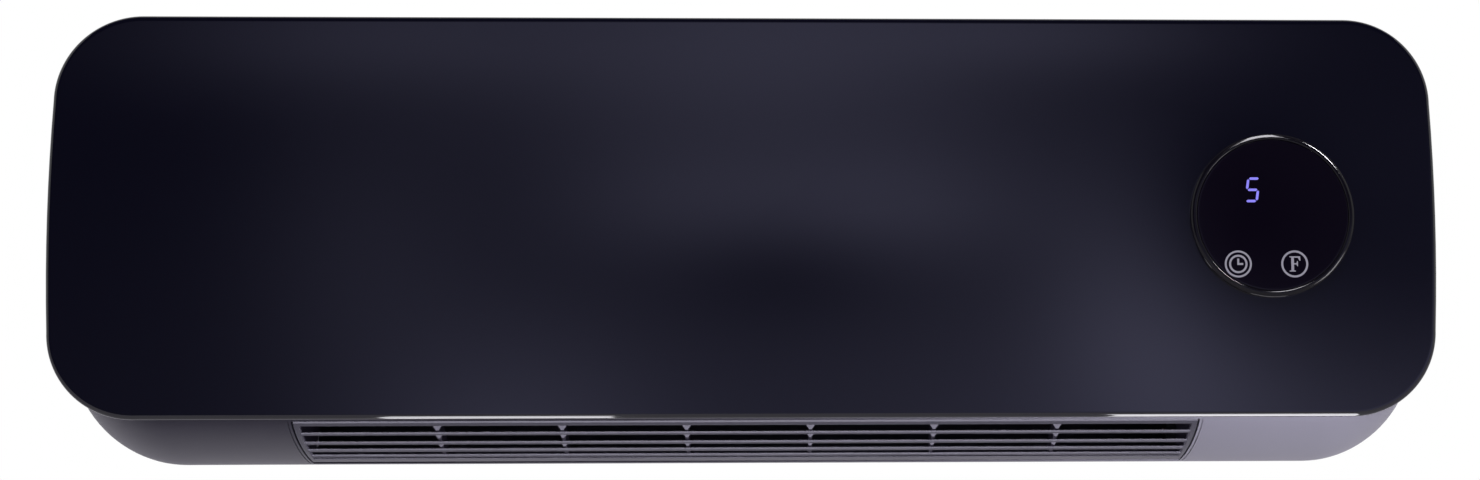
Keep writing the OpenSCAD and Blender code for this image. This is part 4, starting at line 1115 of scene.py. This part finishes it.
radiance = (pool(-153, 79, 85, 22, 0.34) + pool(126, 80, 73, 15, 0.33)
            + pool(7, 75, 111, 53, 0.61) + pool(22, 9, 72, 24, 0.81)
            - pool(17, 4, 49, 29, 0.50) + pool(-93, -101, 61, 60, 0.48)
            + pool(-152, -8, 47, 61, 0.16) + pool(412, -106, 420, 106, 0.75)
            + pool(180, -34, 44, 54, 1.64) - pool(187, -24, 40, 50, 1.49)
            - pool(277, -40, 88, 57, 0.31) + 0.05)
diffuse_ray = wire.node("ShaderNodeLightPath", out=2)
held_back = 0.8
radiance = wire.math("MAXIMUM", radiance, 0.0) * (1 - diffuse_ray * held_back)
light = wire.node("ShaderNodeEmission", {}, {"Color": (1.0, 0.99, 1.52, 1),
                                             "Strength": radiance})
wire.tree.links.new(light.socket, wire.tree.nodes["Material Output"].inputs["Surface"])
print("drape finish:", len(wire.tree.nodes), "nodes")

# %% [markdown]
# ## Drape
#
# The drape is a strip of cloth that hangs behind the camera and bends over it
# towards the heater. The camera doesn't see it and it throws no shadow, so it
# stands in the way of no other light.

# %% Drape
drape = sheet("drape", [(drape_y, -1.2), (drape_y, 1.6), (-2.3, 2.2), (-1.8, 2.6),
                        (-0.4, 2.8)], drape_half)
drape.data.materials.append(drape_finish)
drape.visible_camera = drape.visible_shadow = False
drape.visible_transmission = False
print("drape:", len(drape.data.polygons), "faces")

# %% [markdown]
# ## Lamps
#
# One large soft lamp hangs overhead. It lights the top and the floor, and the
# floor sends the light up again, as a pale table would. Several small lamps
# would light it too, but each would throw its own shadow.

# %% Overhead lamp
def soft_lamp(name, place, target, size, power, gloss=False):
    """A rectangular lamp that faces a target, in metres and watts."""
    data = bpy.data.lights.new(name, "AREA")
    data.shape, data.size, data.size_y = "RECTANGLE", size[0], size[1]
    data.energy, data.color = power, (0.97, 0.95, 1.0)
    lamp = in_scene(name, data)
    lamp.location = place
    lamp.rotation_mode = "QUATERNION"
    lamp.rotation_quaternion = (Vector(target) - Vector(place)).to_track_quat("-Z", "Y")
    lamp.visible_camera = False
    lamp.visible_glossy = gloss
    return lamp


overhead = soft_lamp("overhead", (0.3, -1.0, 2.2), (0, -0.3, -0.3), (3.0, 2.0), 24)
print("overhead lamp:", overhead.data.energy, "W")

# %% [markdown]
# ## Small lamps
#
# Small lamps brighten the right end of the underside and the slats. Others draw
# glints in gloss alone: two below the glass the bright lines along its lower
# edge, and three round the disc the arcs on its rim. Light linking keeps each
# to its own pieces, as a flag in front of a studio lamp would. The higher lamp
# of the louvre is shaded by the floor alone, as the glass would hide the slats.

# %% Small lamps
def small_lamp(name, place, target, size, power, pieces, glint=True, spread=180,
               through=False):
    """A lamp for some pieces only. With through, the other pieces cast no shadow."""
    lamp = soft_lamp(name, place, target, size, power, gloss=True)
    lamp.data.spread = math.radians(spread)
    lamp.visible_diffuse = not glint
    lit = bpy.data.collections.new(name + "_lit")
    for piece in pieces:
        lit.objects.link(piece)
    lamp.light_linking.receiver_collection = lit
    if through:
        blockers = bpy.data.collections.new(name + "_blockers")
        blockers.objects.link(floor)
        lamp.light_linking.blocker_collection = blockers


small_lamp("low_right", (0.275, -0.36, -0.28), (0.215, -0.07, -0.09), (0.16, 0.16), 0.55,
           [front_shell, frame["nodes"]["rear_housing"]], glint=False, spread=70)
for name, place, power, through in (
        ("louvre_low", (0.06, -0.50, -0.20), 0.9, False),
        ("louvre_high", (0.06, -0.45, 0.25), 4.6, True)):
    small_lamp(name, place, (0.02, -0.06, -0.09), (0.8, 0.12), power, [louvre_face],
               glint=False, through=through)

edge_z = glass_low.z
for name, x, width, power in (("edge_left", -0.118, 0.107, 1.0),
                              ("edge_right", 0.232, 0.125, 1.4)):
    small_lamp(name, (x, front_y - 0.018, edge_z - 0.165), (x, front_y, edge_z),
               (width, 0.24), power, [glass_front])

disc_middle = at(disc_x, 0, glass_z)
for name, offset, size, power in (
        ("rim_top", (0.035, -0.30, 0.36), (0.13, 0.36), 5.0),
        ("rim_right", (0.24, -0.26, 0.26), (0.06, 0.13), 4.0),
        ("rim_low", (0.315, -0.27, -0.175), (0.16, 0.16), 1.0)):
    small_lamp(name, disc_middle + Vector(offset), disc_middle, size, power, [disc_rim])
print("lamps:", len(bpy.data.lights))
